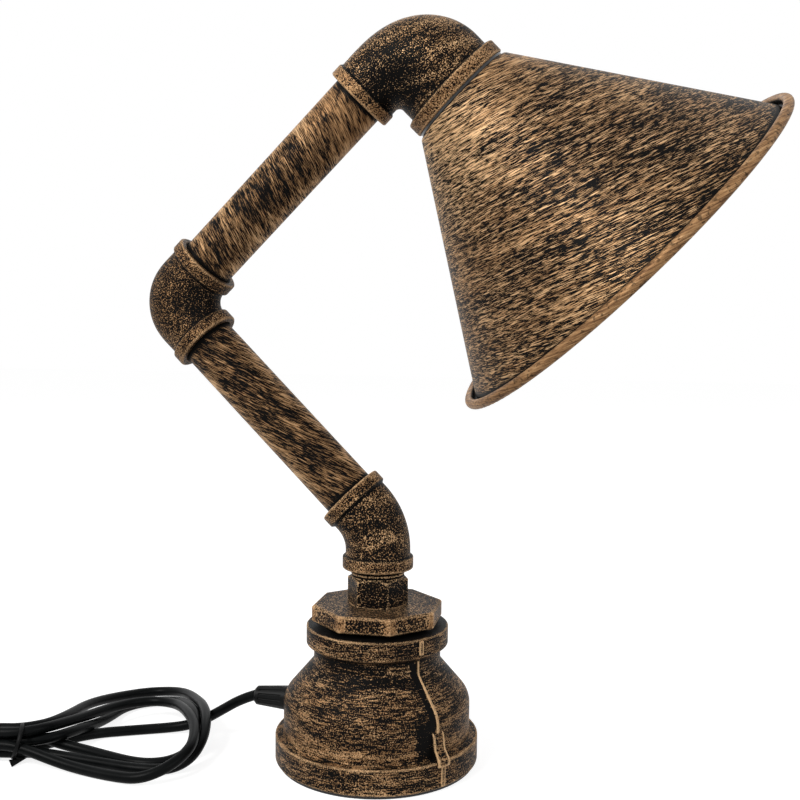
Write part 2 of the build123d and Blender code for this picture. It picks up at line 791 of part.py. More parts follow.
def bulb_outline(inset):
    """Half outline of the bulb's envelope, set in from the outside, from neck to tip."""
    radius = bulb_radius - inset
    neck = bulb_neck_radius - inset
    blend = bulb_neck_blend + inset
    blend_out = neck + blend
    blend_depth = bulb_centre - math.sqrt((radius + blend) ** 2 - blend_out**2)
    share = radius / (radius + blend)
    tangent_point = (blend_out * share, bulb_centre + (blend_depth - bulb_centre) * share)
    sweep_middle = math.atan2(tangent_point[1] - bulb_centre, tangent_point[0]) / 2 + math.pi / 4
    return {
        "neck": (neck, blend_depth),
        "blend_centre": (blend_out, blend_depth),
        "blend": blend,
        "tangent": tangent_point,
        "belly": (radius * math.cos(sweep_middle), bulb_centre + radius * math.sin(sweep_middle)),
        "tip": (0, bulb_centre + radius),
    }


def envelope(inset, start):
    """Solid of the envelope's outside or inside, to be turned about the bulb's axis."""
    shape = bulb_outline(inset)
    tangent_x, tangent_y = shape["tangent"]
    centre_x, centre_y = shape["blend_centre"]
    middle = (math.atan2(tangent_y - centre_y, tangent_x - centre_x) + math.pi) / 2
    waist = (
        centre_x + shape["blend"] * math.cos(middle),
        centre_y + shape["blend"] * math.sin(middle),
    )
    with BuildPart() as piece:
        with BuildSketch(shade_plane):
            with BuildLine():
                Polyline((0, start), (shape["neck"][0], start), shape["neck"])
                ThreePointArc(shape["neck"], waist, shape["tangent"])
                ThreePointArc(shape["tangent"], shape["belly"], shape["tip"])
                Line(shape["tip"], (0, start))
            make_face()
        revolve(axis=shade_axis)
    return piece.part


with BuildPart() as bulb_cap:
    with BuildSketch(shade_plane):
        outline(
            (0, cap_start, 0),
            (contact_radius, cap_start, 0),
            (bulb_cap_radius, cap_start + bulb_cap_cone, 1.0),
            (bulb_cap_radius, cap_end, 0),
            (bulb_neck_radius + close_gap, cap_end, 0),
            (bulb_neck_radius + close_gap, cap_start + bulb_cap_base, 0),
            (0, cap_start + bulb_cap_base, 0),
        )
    revolve(axis=shade_axis)
bulb_cap.part.label = "bulb_cap"
export_step(bulb_cap.part, "parts/bulb_cap.step")

neck_start = cap_start + bulb_cap_base + close_gap
with BuildPart() as bulb_glass:
    add(envelope(0, neck_start))
    add(envelope(bulb_skin, neck_start + bulb_skin), mode=Mode.SUBTRACT)
bulb_glass.part.label = "bulb_glass"
export_step(bulb_glass.part, "parts/bulb_glass.step")

stem_start = neck_start + bulb_skin
filament_start = bulb_centre - filament_length / 2
filament_end = bulb_centre + filament_length / 2
with BuildPart() as bulb_stem:
    with BuildSketch(shade_plane):
        outline(
            (0, stem_start, 0),
            (bulb_neck_radius - bulb_skin - close_gap, stem_start, 0),
            (stem_radius + 1, stem_start + stem_flare_length, 0),
            (stem_radius, filament_start - stem_disc_thick, 0),
            (stem_disc_radius, filament_start - stem_disc_thick, 0),
            (stem_disc_radius, filament_start, 0),
            (stem_radius, filament_start, 0),
            (stem_radius, filament_end, 0),
            (stem_disc_radius, filament_end, 0),
            (stem_disc_radius, filament_end + stem_disc_thick, 0),
            (0, filament_end + stem_disc_thick, 0),
        )
    revolve(axis=shade_axis)
bulb_stem.part.label = "bulb_stem"
export_step(bulb_stem.part, "parts/bulb_stem.step")

with BuildPart() as bulb_filaments:
    with BuildSketch(square_to(shade_mouth + shade_dir * filament_start, shade_dir)):
        with PolarLocations(filament_circle, filament_count):
            Circle(filament_radius)
    extrude(amount=filament_length)
bulb_filaments.part.label = "bulb_filaments"
export_step(bulb_filaments.part, "parts/bulb_filaments.step")

# ---------------------------------------------------------------- wiring up the arms
# The sleeved wires are parted on each swivel's axis, so each length turns with its arm.
wire_part_height = elbow_45_face + socket_depth - wire_part_setback
mid_part = mid_elbow_lower_face + lower_dir * (socket_depth - wire_part_setback)
top_part = top_elbow_pipe_face + upper_dir * (socket_depth - wire_part_setback)
block_middle = ballast_top + block_height / 2
base_route = [
    (block_length / 2, 0, block_middle),
    (block_length / 2 + wire_loop_reach, 0, block_middle),
    (block_length / 2 + wire_loop_reach, 0, block_middle + wire_loop_rise),
    (0, 0, neck_start_height + wire_entry_rise),
    (0, 0, wire_part_height),
]
with BuildPart() as base_wires:
    add(tube(base_route, wire_radius, [wire_bend, wire_bend, wire_entry_bend]))
base_wires.part.label = "base_wires"
export_step(base_wires.part, "parts/base_wires.step")

lower_route = [Vector(0, 0, wire_part_height + seat_gap), elbow_45_corner, mid_part]
with BuildPart() as lower_wires:
    add(tube(lower_route, wire_radius, [elbow_45_bend]))
lower_wires.part.label = "lower_wires"
export_step(lower_wires.part, "parts/lower_wires.step")

upper_route = [mid_part + lower_dir * seat_gap, mid_elbow_corner, top_part]
with BuildPart() as upper_wires:
    add(tube(upper_route, wire_radius, [passage_bend]))
upper_wires.part.label = "upper_wires"
export_step(upper_wires.part, "parts/upper_wires.step")

holder_entry = shade_mouth - shade_dir * holder_inside_length
head_route = [top_part + upper_dir * seat_gap, top_elbow_corner, holder_entry]
with BuildPart() as head_wires:
    add(tube(head_route, wire_radius, [passage_bend * 0.75]))
head_wires.part.label = "head_wires"
export_step(head_wires.part, "parts/head_wires.step")

# ---------------------------------------------------------------- gland and terminals
gland_seat = Vector(-dome_radius - running_gap, 0, gland_height)
gland_tip = Vector(-dome_radius - gland_length, 0, gland_height)
gland_plane = turning_plane(gland_seat, Vector(-1, 0, 0), across)
gland_reach = gland_length - running_gap
gland_bore = cord_radius + gland_bore_gap
with BuildPart() as cord_gland:
    with BuildSketch(gland_plane):
        outline(
            (gland_bore, -gland_shank_length, 0),
            (gland_shank_radius, -gland_shank_length, 0),
            (gland_shank_radius, 0, 0),
            (gland_root_radius, 0, 0),
            (gland_root_radius, gland_collar, 0),
            (gland_tip_radius, gland_reach - gland_tip_bevel, 0),
            (gland_tip_radius - gland_tip_bevel, gland_reach, 0),
            (gland_bore, gland_reach, 0),
        )
    revolve(axis=Axis(gland_seat, Vector(-1, 0, 0)))
    for rib in range(gland_ribs):
        angle = 2 * math.pi * rib / gland_ribs
        outwards = Vector(0, math.cos(angle), math.sin(angle))
        groove_start = gland_seat - Vector(gland_collar + 1, 0, 0) + outwards * gland_root_radius
        groove_end = gland_seat - Vector(gland_reach - 2.5, 0, 0) + outwards * gland_tip_radius
        groove = groove_end - groove_start
        add(rod(groove_start, groove, gland_rib_groove, groove.length), mode=Mode.SUBTRACT)
cord_gland.part.label = "cord_gland"
export_step(cord_gland.part, "parts/cord_gland.step")

# The nut's flat bears on the dome's round inside wall at its two side corners.
nut_seat = math.sqrt(inner_dome**2 - gland_nut_corner_radius**2) - close_gap
with BuildPart() as gland_nut:
    with BuildSketch(square_to(Vector(-nut_seat, 0, gland_height), Vector(1, 0, 0))):
        RegularPolygon(gland_nut_corner_radius, 6)
        Circle(gland_shank_radius + running_gap, mode=Mode.SUBTRACT)
    extrude(amount=gland_nut_thick)
gland_nut.part.label = "gland_nut"
export_step(gland_nut.part, "parts/gland_nut.step")

inner_route = [
    gland_tip + Vector(inner_flex_start, 0, 0),
    (-dome_radius + gland_shank_length + inner_flex_run, 0, gland_height),
    (-block_length / 2 - inner_flex_drop, 0, block_middle),
    (-block_length / 2, 0, block_middle),
]
with BuildPart() as flex_inner:
    add(tube(inner_route, cord_radius, [inner_flex_bend, inner_flex_bend]))
flex_inner.part.label = "flex_inner"
export_step(flex_inner.part, "parts/flex_inner.step")

block_columns = (-block_length / 4, block_length / 4)
block_rows = [(column, row * block_pitch) for column in block_columns for row in (-1, 0, 1)]
with BuildPart() as terminal_block:
    with BuildSketch(Plane.XY.offset(ballast_top)):
        Rectangle(block_length, block_width)
    extrude(amount=block_height)
    chamfer(edges().group_by(Axis.Z)[-1], 0.6)
    with BuildSketch(Plane.XY.offset(ballast_top + block_height)):
        with Locations(*block_rows):
            Circle(block_screw_radius + close_gap)
    extrude(amount=-block_screw_depth, mode=Mode.SUBTRACT)
terminal_block.part.label = "terminal_block"
export_step(terminal_block.part, "parts/terminal_block.step")

with BuildPart() as terminal_screws:
    with BuildSketch(Plane.XY.offset(ballast_top + block_height - block_screw_depth)):
        with Locations(*block_rows):
            Circle(block_screw_radius)
    extrude(amount=block_screw_depth - 0.8)
terminal_screws.part.label = "terminal_screws"
export_step(terminal_screws.part, "parts/terminal_screws.step")

ring_top = ballast_top + earth_ring_thick
barrel_end = earth_screw_reach - earth_ring_radius - earth_barrel_length
barrel_height = ballast_top + earth_barrel_radius
with BuildPart() as earth_ring:
    with BuildSketch(Plane.XY.offset(ballast_top)):
        with Locations((0, earth_screw_reach)):
            Circle(earth_ring_radius)
        with Locations((0, earth_screw_reach - earth_ring_radius)):
            Rectangle(2 * earth_barrel_radius, 2 * earth_ring_radius)
        with Locations((0, earth_screw_reach)):
            Circle(earth_screw_radius + close_gap, mode=Mode.SUBTRACT)
    extrude(amount=earth_ring_thick)
    add(rod(Vector(0, barrel_end, barrel_height), across, earth_barrel_radius, earth_barrel_length))
earth_ring.part.label = "earth_ring"
export_step(earth_ring.part, "parts/earth_ring.step")

with BuildPart() as earth_screw:
    with BuildSketch(Plane.XY.offset(ballast_top - earth_screw_depth)):
        with Locations((0, earth_screw_reach)):
            Circle(earth_screw_radius)
    extrude(amount=earth_screw_depth + earth_ring_thick)
    with BuildSketch(Plane.XY.offset(ring_top)):
        with Locations((0, earth_screw_reach)):
            Circle(earth_screw_head)
    extrude(amount=earth_screw_head_height)
    with BuildSketch(Plane.XY.offset(ring_top + earth_screw_head_height)):
        with Locations((0, earth_screw_reach)):
            Rectangle(2 * earth_screw_head, slot_width)
    extrude(amount=-slot_depth, mode=Mode.SUBTRACT)
earth_screw.part.label = "earth_screw"
export_step(earth_screw.part, "parts/earth_screw.step")

with BuildPart() as earth_lead:
    lead_start = Vector(0, block_width / 2, barrel_height)
    add(rod(lead_start, across, earth_lead_radius, barrel_end - block_width / 2))
earth_lead.part.label = "earth_lead"
export_step(earth_lead.part, "parts/earth_lead.step")

# ---------------------------------------------------------------- free flex
# The flex drops from the gland, runs under the hank's loops and into the tied bundle.
cord_route = [
    tuple(gland_tip),
    (-72.0, 0.6, 22.8),
    (-85.0, 3.0, 14.2),
    (-94.0, 4.8, 9.0),
    (-104.0, 4.6, 4.4),
    (-113.5, 2.0, 2.9),
    (-122.8, -1.9, 2.7),
    (-134.0, -7.4, 2.7),
    (-145.5, -13.8, 3.0),
    (-157.0, -24.0, 4.6),
    (-164.5, -36.0, 7.2),
]
with BuildPart() as cord:
    add(free_flex("cord", cord_route))
cord.part.label = "cord"
export_step(cord.part, "parts/cord.step")

# The hank is one closed form: an open loop each side of the tie and the bundle between.
bundle_dir = Vector(math.cos(math.radians(tie_azimuth)), math.sin(math.radians(tie_azimuth)), 0)
bundle_middle = Vector(*tie_centre, bundle_lift)
near_loop = [
    (-170.5, -40.5), (-176, -15), (-176, 5), (-170, 26), (-162, 43), (-150, 54), (-133, 56),
    (-117, 46), (-103, 27), (-92, 5), (-84, -15), (-81.5, -31), (-83, -46), (-89, -58),
    (-99, -63.5), (-112, -64), (-138, -61), (-158, -58), (-167.7, -54.3),
]
near_hole = [
    (-152, -16), (-146, 6), (-138, 20), (-127, 22), (-115, 13), (-106, 0), (-101, -12),
    (-101, -24), (-110, -31), (-124, -31), (-140, -27),
]
far_loop = [
    (-176.3, -41.7), (-200, -43), (-225, -47), (-250, -52), (-262, -62), (-264, -76),
    (-256, -90), (-240, -95), (-215, -87), (-190, -70), (-173.5, -55.5),
]
far_hole = [
    (-206, -61), (-225, -60), (-242, -64), (-250, -72), (-245, -80), (-232, -81), (-216, -74),
]
loop_round = 3.0
with BuildPart() as cord_hank:
    for border, hole in ((near_loop, near_hole), (far_loop, far_hole)):
        with BuildSketch(Plane.XY):
            outline(*[(x, y, loop_round) for x, y in border])
        extrude(amount=hank_height)
        with BuildSketch(Plane.XY):
            outline(*[(x, y, loop_round) for x, y in hole])
        extrude(amount=hank_height, mode=Mode.SUBTRACT)
    add(rod(bundle_middle - bundle_dir * bundle_length / 2, bundle_dir, bundle_radius, bundle_length))
cord_hank.part.label = "cord_hank"
export_step(cord_hank.part, "parts/cord_hank.step")

with BuildPart() as cord_tie:
    with BuildSketch(square_to(bundle_middle - bundle_dir * tie_width / 2, bundle_dir)):
        Circle(bundle_radius + running_gap + tie_thick)
        Circle(bundle_radius + running_gap, mode=Mode.SUBTRACT)
    extrude(amount=tie_width)
cord_tie.part.label = "cord_tie"
export_step(cord_tie.part, "parts/cord_tie.step")

switch_x, switch_y = switch_place
switch_back = switch_y + switch_length / 2
switch_front = switch_y - switch_length / 2
switch_middle = switch_height / 2
tail_route = [
    (-188.0, -46.0, 7.0),
    (-203.0, -32.0, 4.4),
    (-218.0, -18.5, 2.9),
    (-234.5, -10.0, 2.7),
    (-251.0, -9.5, 2.7),
    (-265.0, -13.5, 3.2),
    (-275.2, -22.2, 5.2),
    (-280.6, -33.2, 7.8),
    (switch_x, switch_back, switch_middle),
]
with BuildPart() as cord_tail:
    add(free_flex("cord_tail", tail_route))
cord_tail.part.label = "cord_tail"
export_step(cord_tail.part, "parts/cord_tail.step")

plug_x, plug_y = plug_entry
lead_across = plug_x - switch_x
lead_forward = switch_front - plug_y
lead_shares = [(0, 0, 0), (0, 0.32, -0.8), (0.126, 0.632, -1.6), (0.358, 0.87, -1.2), (0.663, 1, 0.4)]
lead_route = [
    (switch_x + lead_across * right, switch_front - lead_forward * down, switch_middle + rise)
    for right, down, rise in lead_shares
]
lead_route.append((plug_x, plug_y, plug_cord_height))
with BuildPart() as plug_lead:
    add(free_flex("plug_lead", lead_route))
plug_lead.part.label = "plug_lead"
export_step(plug_lead.part, "parts/plug_lead.step")

# ---------------------------------------------------------------- in-line switch
inner_length = switch_length - 2 * switch_wall
inner_width = switch_width - 2 * switch_wall
screw_offset = switch_length / 2 - switch_screw_inset
screw_places = [(switch_x, switch_y - screw_offset), (switch_x, switch_y + screw_offset)]
post_radius = switch_screw_radius + switch_post_wall
flex_hole = cord_radius + close_gap

with BuildPart() as switch_base:
    with BuildSketch(Plane.XY):
        with Locations(switch_place):
            RectangleRounded(switch_width, switch_length, switch_corner)
    extrude(amount=switch_middle)
    fillet(edges().group_by(Axis.Z)[0], switch_lower_round)
    with BuildSketch(Plane.XY.offset(switch_wall)):
        with Locations(switch_place):
            RectangleRounded(inner_width, inner_length, switch_corner - switch_wall)
    extrude(amount=switch_middle, mode=Mode.SUBTRACT)
    with BuildSketch(Plane.XY.offset(switch_wall)):
        with Locations(*screw_places):
            Circle(post_radius)
    extrude(amount=switch_middle - switch_wall)
    with BuildSketch(Plane.XY):
        with Locations(*screw_places):
            Circle(switch_screw_radius + close_gap)
    extrude(amount=switch_middle, mode=Mode.SUBTRACT)
    with BuildSketch(Plane.XY):
        with Locations(*screw_places):
            Circle(switch_screw_head + close_gap)
    extrude(amount=switch_wall, mode=Mode.SUBTRACT)
    flex_start = Vector(switch_x, switch_front - 1, switch_middle)
    add(rod(flex_start, across, flex_hole, switch_wall + 2), mode=Mode.SUBTRACT)
    flex_start = Vector(switch_x, switch_back - switch_wall - 1, switch_middle)
    add(rod(flex_start, across, flex_hole, switch_wall + 2), mode=Mode.SUBTRACT)
switch_base.part.label = "switch_base"
export_step(switch_base.part, "parts/switch_base.step")

window_length = rocker_length + 2 * rocker_gap
window_width = rocker_width + 2 * seat_gap
lug_x = window_width / 2 + pivot_lug / 2
with BuildPart() as switch_cover:
    with BuildSketch(Plane.XY.offset(switch_middle)):
        with Locations(switch_place):
            RectangleRounded(switch_width, switch_length, switch_corner)
    extrude(amount=switch_height - switch_middle)
    fillet(edges().group_by(Axis.Z)[-1], switch_upper_round)
    with BuildSketch(Plane.XY.offset(switch_middle)):
        with Locations(switch_place):
            RectangleRounded(inner_width, inner_length, switch_corner - switch_wall)
    extrude(amount=switch_height - switch_middle - switch_wall, mode=Mode.SUBTRACT)
    with BuildSketch(Plane.XY.offset(switch_middle)):
        with Locations(*screw_places):
            Circle(post_radius)
    extrude(amount=switch_height - switch_middle - switch_wall)
    with BuildSketch(Plane.XY.offset(pivot_height - 2 * pivot_radius)):
        with Locations((switch_x - lug_x, switch_y), (switch_x + lug_x, switch_y)):
            Rectangle(pivot_lug, 8 * pivot_radius)
    extrude(amount=switch_height - switch_wall - pivot_height + 2 * pivot_radius)
    with BuildSketch(Plane.XY.offset(switch_middle)):
        with Locations(switch_place):
            Rectangle(window_width, window_length)
    extrude(amount=switch_height, mode=Mode.SUBTRACT)
    with BuildSketch(Plane.XY.offset(switch_middle)):
        with Locations(*screw_places):
            Circle(switch_screw_radius + running_gap)
    extrude(amount=switch_height - switch_middle - switch_wall, mode=Mode.SUBTRACT)
    pivot_start = Vector(switch_x - window_width / 2 - pivot_lug, switch_y, pivot_height)
    pivot_span = window_width + 2 * pivot_lug
    add(rod(pivot_start, Vector(1, 0, 0), pivot_radius + running_gap, pivot_span), mode=Mode.SUBTRACT)
    flex_start = Vector(switch_x, switch_front - 1, switch_middle)
    add(rod(flex_start, across, flex_hole, switch_wall + 2), mode=Mode.SUBTRACT)
    flex_start = Vector(switch_x, switch_back - switch_wall - 1, switch_middle)
    add(rod(flex_start, across, flex_hole, switch_wall + 2), mode=Mode.SUBTRACT)
switch_cover.part.label = "switch_cover"
export_step(switch_cover.part, "parts/switch_cover.step")

# The rocker is drawn lengthways in its own plane, tilted with one side pressed.
tilt = math.radians(rocker_travel / 2)
rocker_side = Vector(0, math.cos(tilt), math.sin(tilt))
rocker_foot = Vector(switch_x + rocker_width / 2, switch_y, pivot_height)
rocker_plane = Plane(origin=rocker_foot, x_dir=rocker_side, z_dir=Vector(1, 0, 0))
half_rocker = rocker_length / 2
with BuildPart() as switch_rocker:
    with BuildSketch(rocker_plane):
        outline(
            (-half_rocker, rocker_rise, 0.6),
            (-half_rocker, -pivot_radius, 0.6),
            (-rocker_hub_radius, -rocker_hub_radius, 0.5),
            (rocker_hub_radius, -rocker_hub_radius, 0.5),
            (half_rocker, -pivot_radius, 0.6),
            (half_rocker, rocker_rise, 0.6),
            (0, rocker_rise - 1.2, 6.0),
        )
        Circle(pivot_radius + running_gap, mode=Mode.SUBTRACT)
    extrude(amount=-rocker_width)
switch_rocker.part.label = "switch_rocker"
export_step(switch_rocker.part, "parts/switch_rocker.step")

with BuildPart() as switch_pin:
    add(rod(pivot_start, Vector(1, 0, 0), pivot_radius, pivot_span))
switch_pin.part.label = "switch_pin"
export_step(switch_pin.part, "parts/switch_pin.step")

# Two spring tongues stand on the base, one under each end of the rocker.
tongue_places = [(switch_x, switch_y - half_rocker / 2), (switch_x, switch_y + half_rocker / 2)]
with BuildPart() as switch_contacts:
    with BuildSketch(Plane.XY.offset(switch_wall)):
        with Locations(*tongue_places):
            Rectangle(contact_width, tongue_thick)
    extrude(amount=switch_middle - switch_wall)
    with BuildSketch(Plane.XY.offset(switch_wall)):
        with Locations(*tongue_places):
            Rectangle(contact_width, tongue_foot)
    extrude(amount=tongue_thick)
switch_contacts.part.label = "switch_contacts"
export_step(switch_contacts.part, "parts/switch_contacts.step")

with BuildPart() as switch_screws:
    with BuildSketch(Plane.XY.offset(switch_screw_sink)):
        with Locations(*screw_places):
            Circle(switch_screw_head)
    extrude(amount=switch_wall - switch_screw_sink)
    with BuildSketch(Plane.XY.offset(switch_wall)):
        with Locations(*screw_places):
            Circle(switch_screw_radius)
    extrude(amount=switch_height - 3 * switch_wall)
switch_screws.part.label = "switch_screws"
export_step(switch_screws.part, "parts/switch_screws.step")

# ---------------------------------------------------------------- plug
# The plug lies on its cover, with the pins up. Its outline narrows at the flex's side.
plug_top = plug_cover_height + plug_base_height
half_plug = plug_width / 2


def plug_outline(inset):
    """Plug's outline in plan, set in from its outside."""
    near = plug_x + inset
    far = plug_x + plug_length - inset
    half = half_plug - inset
    waist = half_plug - plug_taper_corner
    rounding = plug_corner - inset
    outline(
        (near, plug_y - waist, plug_waist_round),
        (near + plug_taper_corner / 2, plug_y - half, rounding / 2),
        (far, plug_y - half, rounding),
        (far, plug_y + half, rounding),
        (near + plug_taper_corner / 2, plug_y + half, rounding / 2),
        (near, plug_y + waist, plug_waist_round),
    )


with BuildPart() as plug_cover:
    with BuildSketch(Plane.XY):
        plug_outline(0)
    extrude(amount=plug_cover_height)
    fillet(edges().group_by(Axis.Z)[0], plug_lower_round)
    with BuildSketch(Plane.XY.offset(plug_wall)):
        plug_outline(plug_wall)
    extrude(amount=plug_cover_height, mode=Mode.SUBTRACT)
    plug_middle = (plug_x + plug_length / 2, plug_y)
    with BuildSketch(Plane.XY.offset(plug_wall)):
        with Locations(plug_middle):
            Circle(plug_screw_radius + plug_post_wall)
    extrude(amount=plug_cover_height - plug_wall)
    with BuildSketch(Plane.XY.offset(plug_wall)):
        with Locations(plug_middle):
            Circle(plug_screw_radius + running_gap)
    extrude(amount=plug_cover_height, mode=Mode.SUBTRACT)
    flex_start = Vector(plug_x - 1, plug_y, plug_cord_height)
    add(rod(flex_start, Vector(1, 0, 0), flex_hole, plug_wall + 2), mode=Mode.SUBTRACT)
plug_cover.part.label = "plug_cover"
export_step(plug_cover.part, "parts/plug_cover.step")

line_pins = [(plug_x + pin_setback, plug_y + side * pin_pitch / 2) for side in (-1, 1)]
earth_place = (plug_x + pin_setback + pin_pitch, plug_y)
with BuildPart() as plug_base:
    with BuildSketch(Plane.XY.offset(plug_cover_height)):
        plug_outline(0)
    extrude(amount=plug_base_height)
    fillet(edges().group_by(Axis.Z)[-1], plug_upper_round)
    with BuildSketch(Plane.XY.offset(plug_cover_height)):
        with Locations(*line_pins):
            Rectangle(line_pin[0] + close_gap, line_pin[1] + close_gap)
        with Locations(earth_place):
            Rectangle(earth_pin[1] + close_gap, earth_pin[0] + close_gap)
        with Locations(plug_middle):
            Circle(plug_screw_radius + close_gap)
    extrude(amount=plug_base_height, mode=Mode.SUBTRACT)
    with BuildSketch(Plane.XY.offset(plug_top - plug_screw_well)):
        with Locations(plug_middle):
            Circle(plug_screw_head + close_gap)
    extrude(amount=plug_screw_well, mode=Mode.SUBTRACT)
plug_base.part.label = "plug_base"
export_step(plug_base.part, "parts/plug_base.step")

pin_root = 5.0  # pin below the base, where the fuse and the wires are held
with BuildPart() as plug_pins:
    with BuildSketch(Plane.XY.offset(plug_cover_height - pin_root)):
        with Locations(*line_pins):
            Rectangle(*line_pin)
    extrude(amount=pin_root + plug_base_height + pin_length)
    with BuildSketch(Plane.XY.offset(plug_cover_height - pin_root)):
        with Locations(earth_place):
            Rectangle(earth_pin[1], earth_pin[0])
    extrude(amount=pin_root + plug_base_height + earth_pin_length)
    chamfer(edges().group_by(Axis.Z)[-1], 0.8)
plug_pins.part.label = "plug_pins"
export_step(plug_pins.part, "parts/plug_pins.step")

# The fuse lies along the plug, against the live pin's root.
fuse_y = line_pins[0][1] - line_pin[1] / 2 - fuse_radius - close_gap
fuse_start = Vector(plug_x + pin_setback - 2, fuse_y, plug_cover_height - fuse_radius - close_gap)
with BuildPart() as plug_fuse:
    add(rod(fuse_start, Vector(1, 0, 0), fuse_radius, fuse_length))
plug_fuse.part.label = "plug_fuse"
export_step(plug_fuse.part, "parts/plug_fuse.step")

with BuildPart() as plug_screw:
    with BuildSketch(Plane.XY.offset(plug_wall + 2)):
        with Locations(plug_middle):
            Circle(plug_screw_radius)
    extrude(amount=plug_top - plug_screw_well - plug_wall - 2)
    with BuildSketch(Plane.XY.offset(plug_top - plug_screw_well)):
        with Locations(plug_middle):
            Circle(plug_screw_head)
    extrude(amount=plug_screw_head_height)
    with BuildSketch(Plane.XY.offset(plug_top - plug_screw_well + plug_screw_head_height)):
        with Locations(plug_middle):
            Rectangle(2 * plug_screw_head, slot_width)
    extrude(amount=-slot_depth, mode=Mode.SUBTRACT)
plug_screw.part.label = "plug_screw"
export_step(plug_screw.part, "parts/plug_screw.step")
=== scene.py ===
import math

import bmesh
import bpy
from mathutils import Matrix, Vector


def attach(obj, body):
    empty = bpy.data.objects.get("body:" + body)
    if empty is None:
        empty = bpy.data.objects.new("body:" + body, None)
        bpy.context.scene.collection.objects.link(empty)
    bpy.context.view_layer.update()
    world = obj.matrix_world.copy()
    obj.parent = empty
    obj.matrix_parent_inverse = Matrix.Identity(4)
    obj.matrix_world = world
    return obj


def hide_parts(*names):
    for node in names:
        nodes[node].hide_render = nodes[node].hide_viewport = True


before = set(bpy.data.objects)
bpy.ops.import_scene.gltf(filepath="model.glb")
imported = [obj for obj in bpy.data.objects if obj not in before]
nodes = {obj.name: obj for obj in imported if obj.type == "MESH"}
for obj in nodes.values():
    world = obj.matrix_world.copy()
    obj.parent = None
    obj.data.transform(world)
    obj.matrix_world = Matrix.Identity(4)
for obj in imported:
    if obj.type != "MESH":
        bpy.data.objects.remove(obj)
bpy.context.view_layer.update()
bpy.context.scene.view_settings.view_transform = "Standard"
MM = 0.001

# The directions and centres of the arms and the shade, as in part.py.
UP = Vector((0, 0, 1))
LOWER = Vector((-0.70711, 0, 0.70711))
UPPER = Vector((0.70711, 0, 0.70711))
SHADE = Vector((0.69364, 0.19423, -0.69364))
ELBOW_45 = Vector((0, 0, 0.1172))
MID_ELBOW = Vector((-0.10932, 0, 0.22652))
TOP_ELBOW = Vector((0.01379, 0, 0.34963))
SHADE_MOUTH = Vector((0.03703, 0.00651, 0.32639))


# ---- camera and light --------------------------------------------------------

# The photograph's camera, solved from the lamp's outline: metres, radians and millimetres.
EYE = Vector((0.124694, -0.498114, 0.214997))
YAW, PITCH, ROLL = -0.225547, -0.069430, 0.009744
LENS, SENSOR = 47.25, 36
LIT = Vector((0, 0, 0.2))


def camera_at(eye, yaw, pitch, roll, lens):
    level = math.cos(pitch)
    ahead = Vector((math.sin(yaw) * level, math.cos(yaw) * level, math.sin(pitch)))
    right = Vector((math.cos(yaw), -math.sin(yaw), 0))
    top = right.cross(ahead)
    across = right * math.cos(roll) + top * math.sin(roll)
    top = top * math.cos(roll) - right * math.sin(roll)
    data = bpy.data.cameras.new("camera")
    data.lens, data.sensor_width, data.sensor_fit = lens, SENSOR, "HORIZONTAL"
    camera = bpy.data.objects.new("camera", data)
    turned = Matrix((across, top, -ahead)).transposed().to_4x4()
    camera.matrix_world = Matrix.Translation(eye) @ turned
    bpy.context.scene.collection.objects.link(camera)
    bpy.context.scene.camera = camera


def soft_light(name, place, size, watts, colour):
    """a round soft lamp that faces the middle of the arms"""
    data = bpy.data.lights.new(name, "AREA")
    data.shape, data.size, data.energy, data.color = "DISK", size, watts, colour
    lamp = bpy.data.objects.new(name, data)
    lamp.location = place
    lamp.rotation_euler = (LIT - Vector(place)).to_track_quat("-Z", "Y").to_euler()
    bpy.context.scene.collection.objects.link(lamp)


camera_at(EYE, YAW, PITCH, ROLL, LENS)
soft_light("key", (-0.55, -0.85, 0.95), size=0.5, watts=12.5, colour=(1.0, 0.985, 0.96))
soft_light("fill", (0.95, -0.55, 0.55), size=0.7, watts=2.4, colour=(0.96, 0.98, 1.0))
soft_light("back", (-0.3, 0.9, 0.8), size=0.6, watts=1.2, colour=(1.0, 1.0, 1.0))


# ---- materials -----------------------------------------------------------------

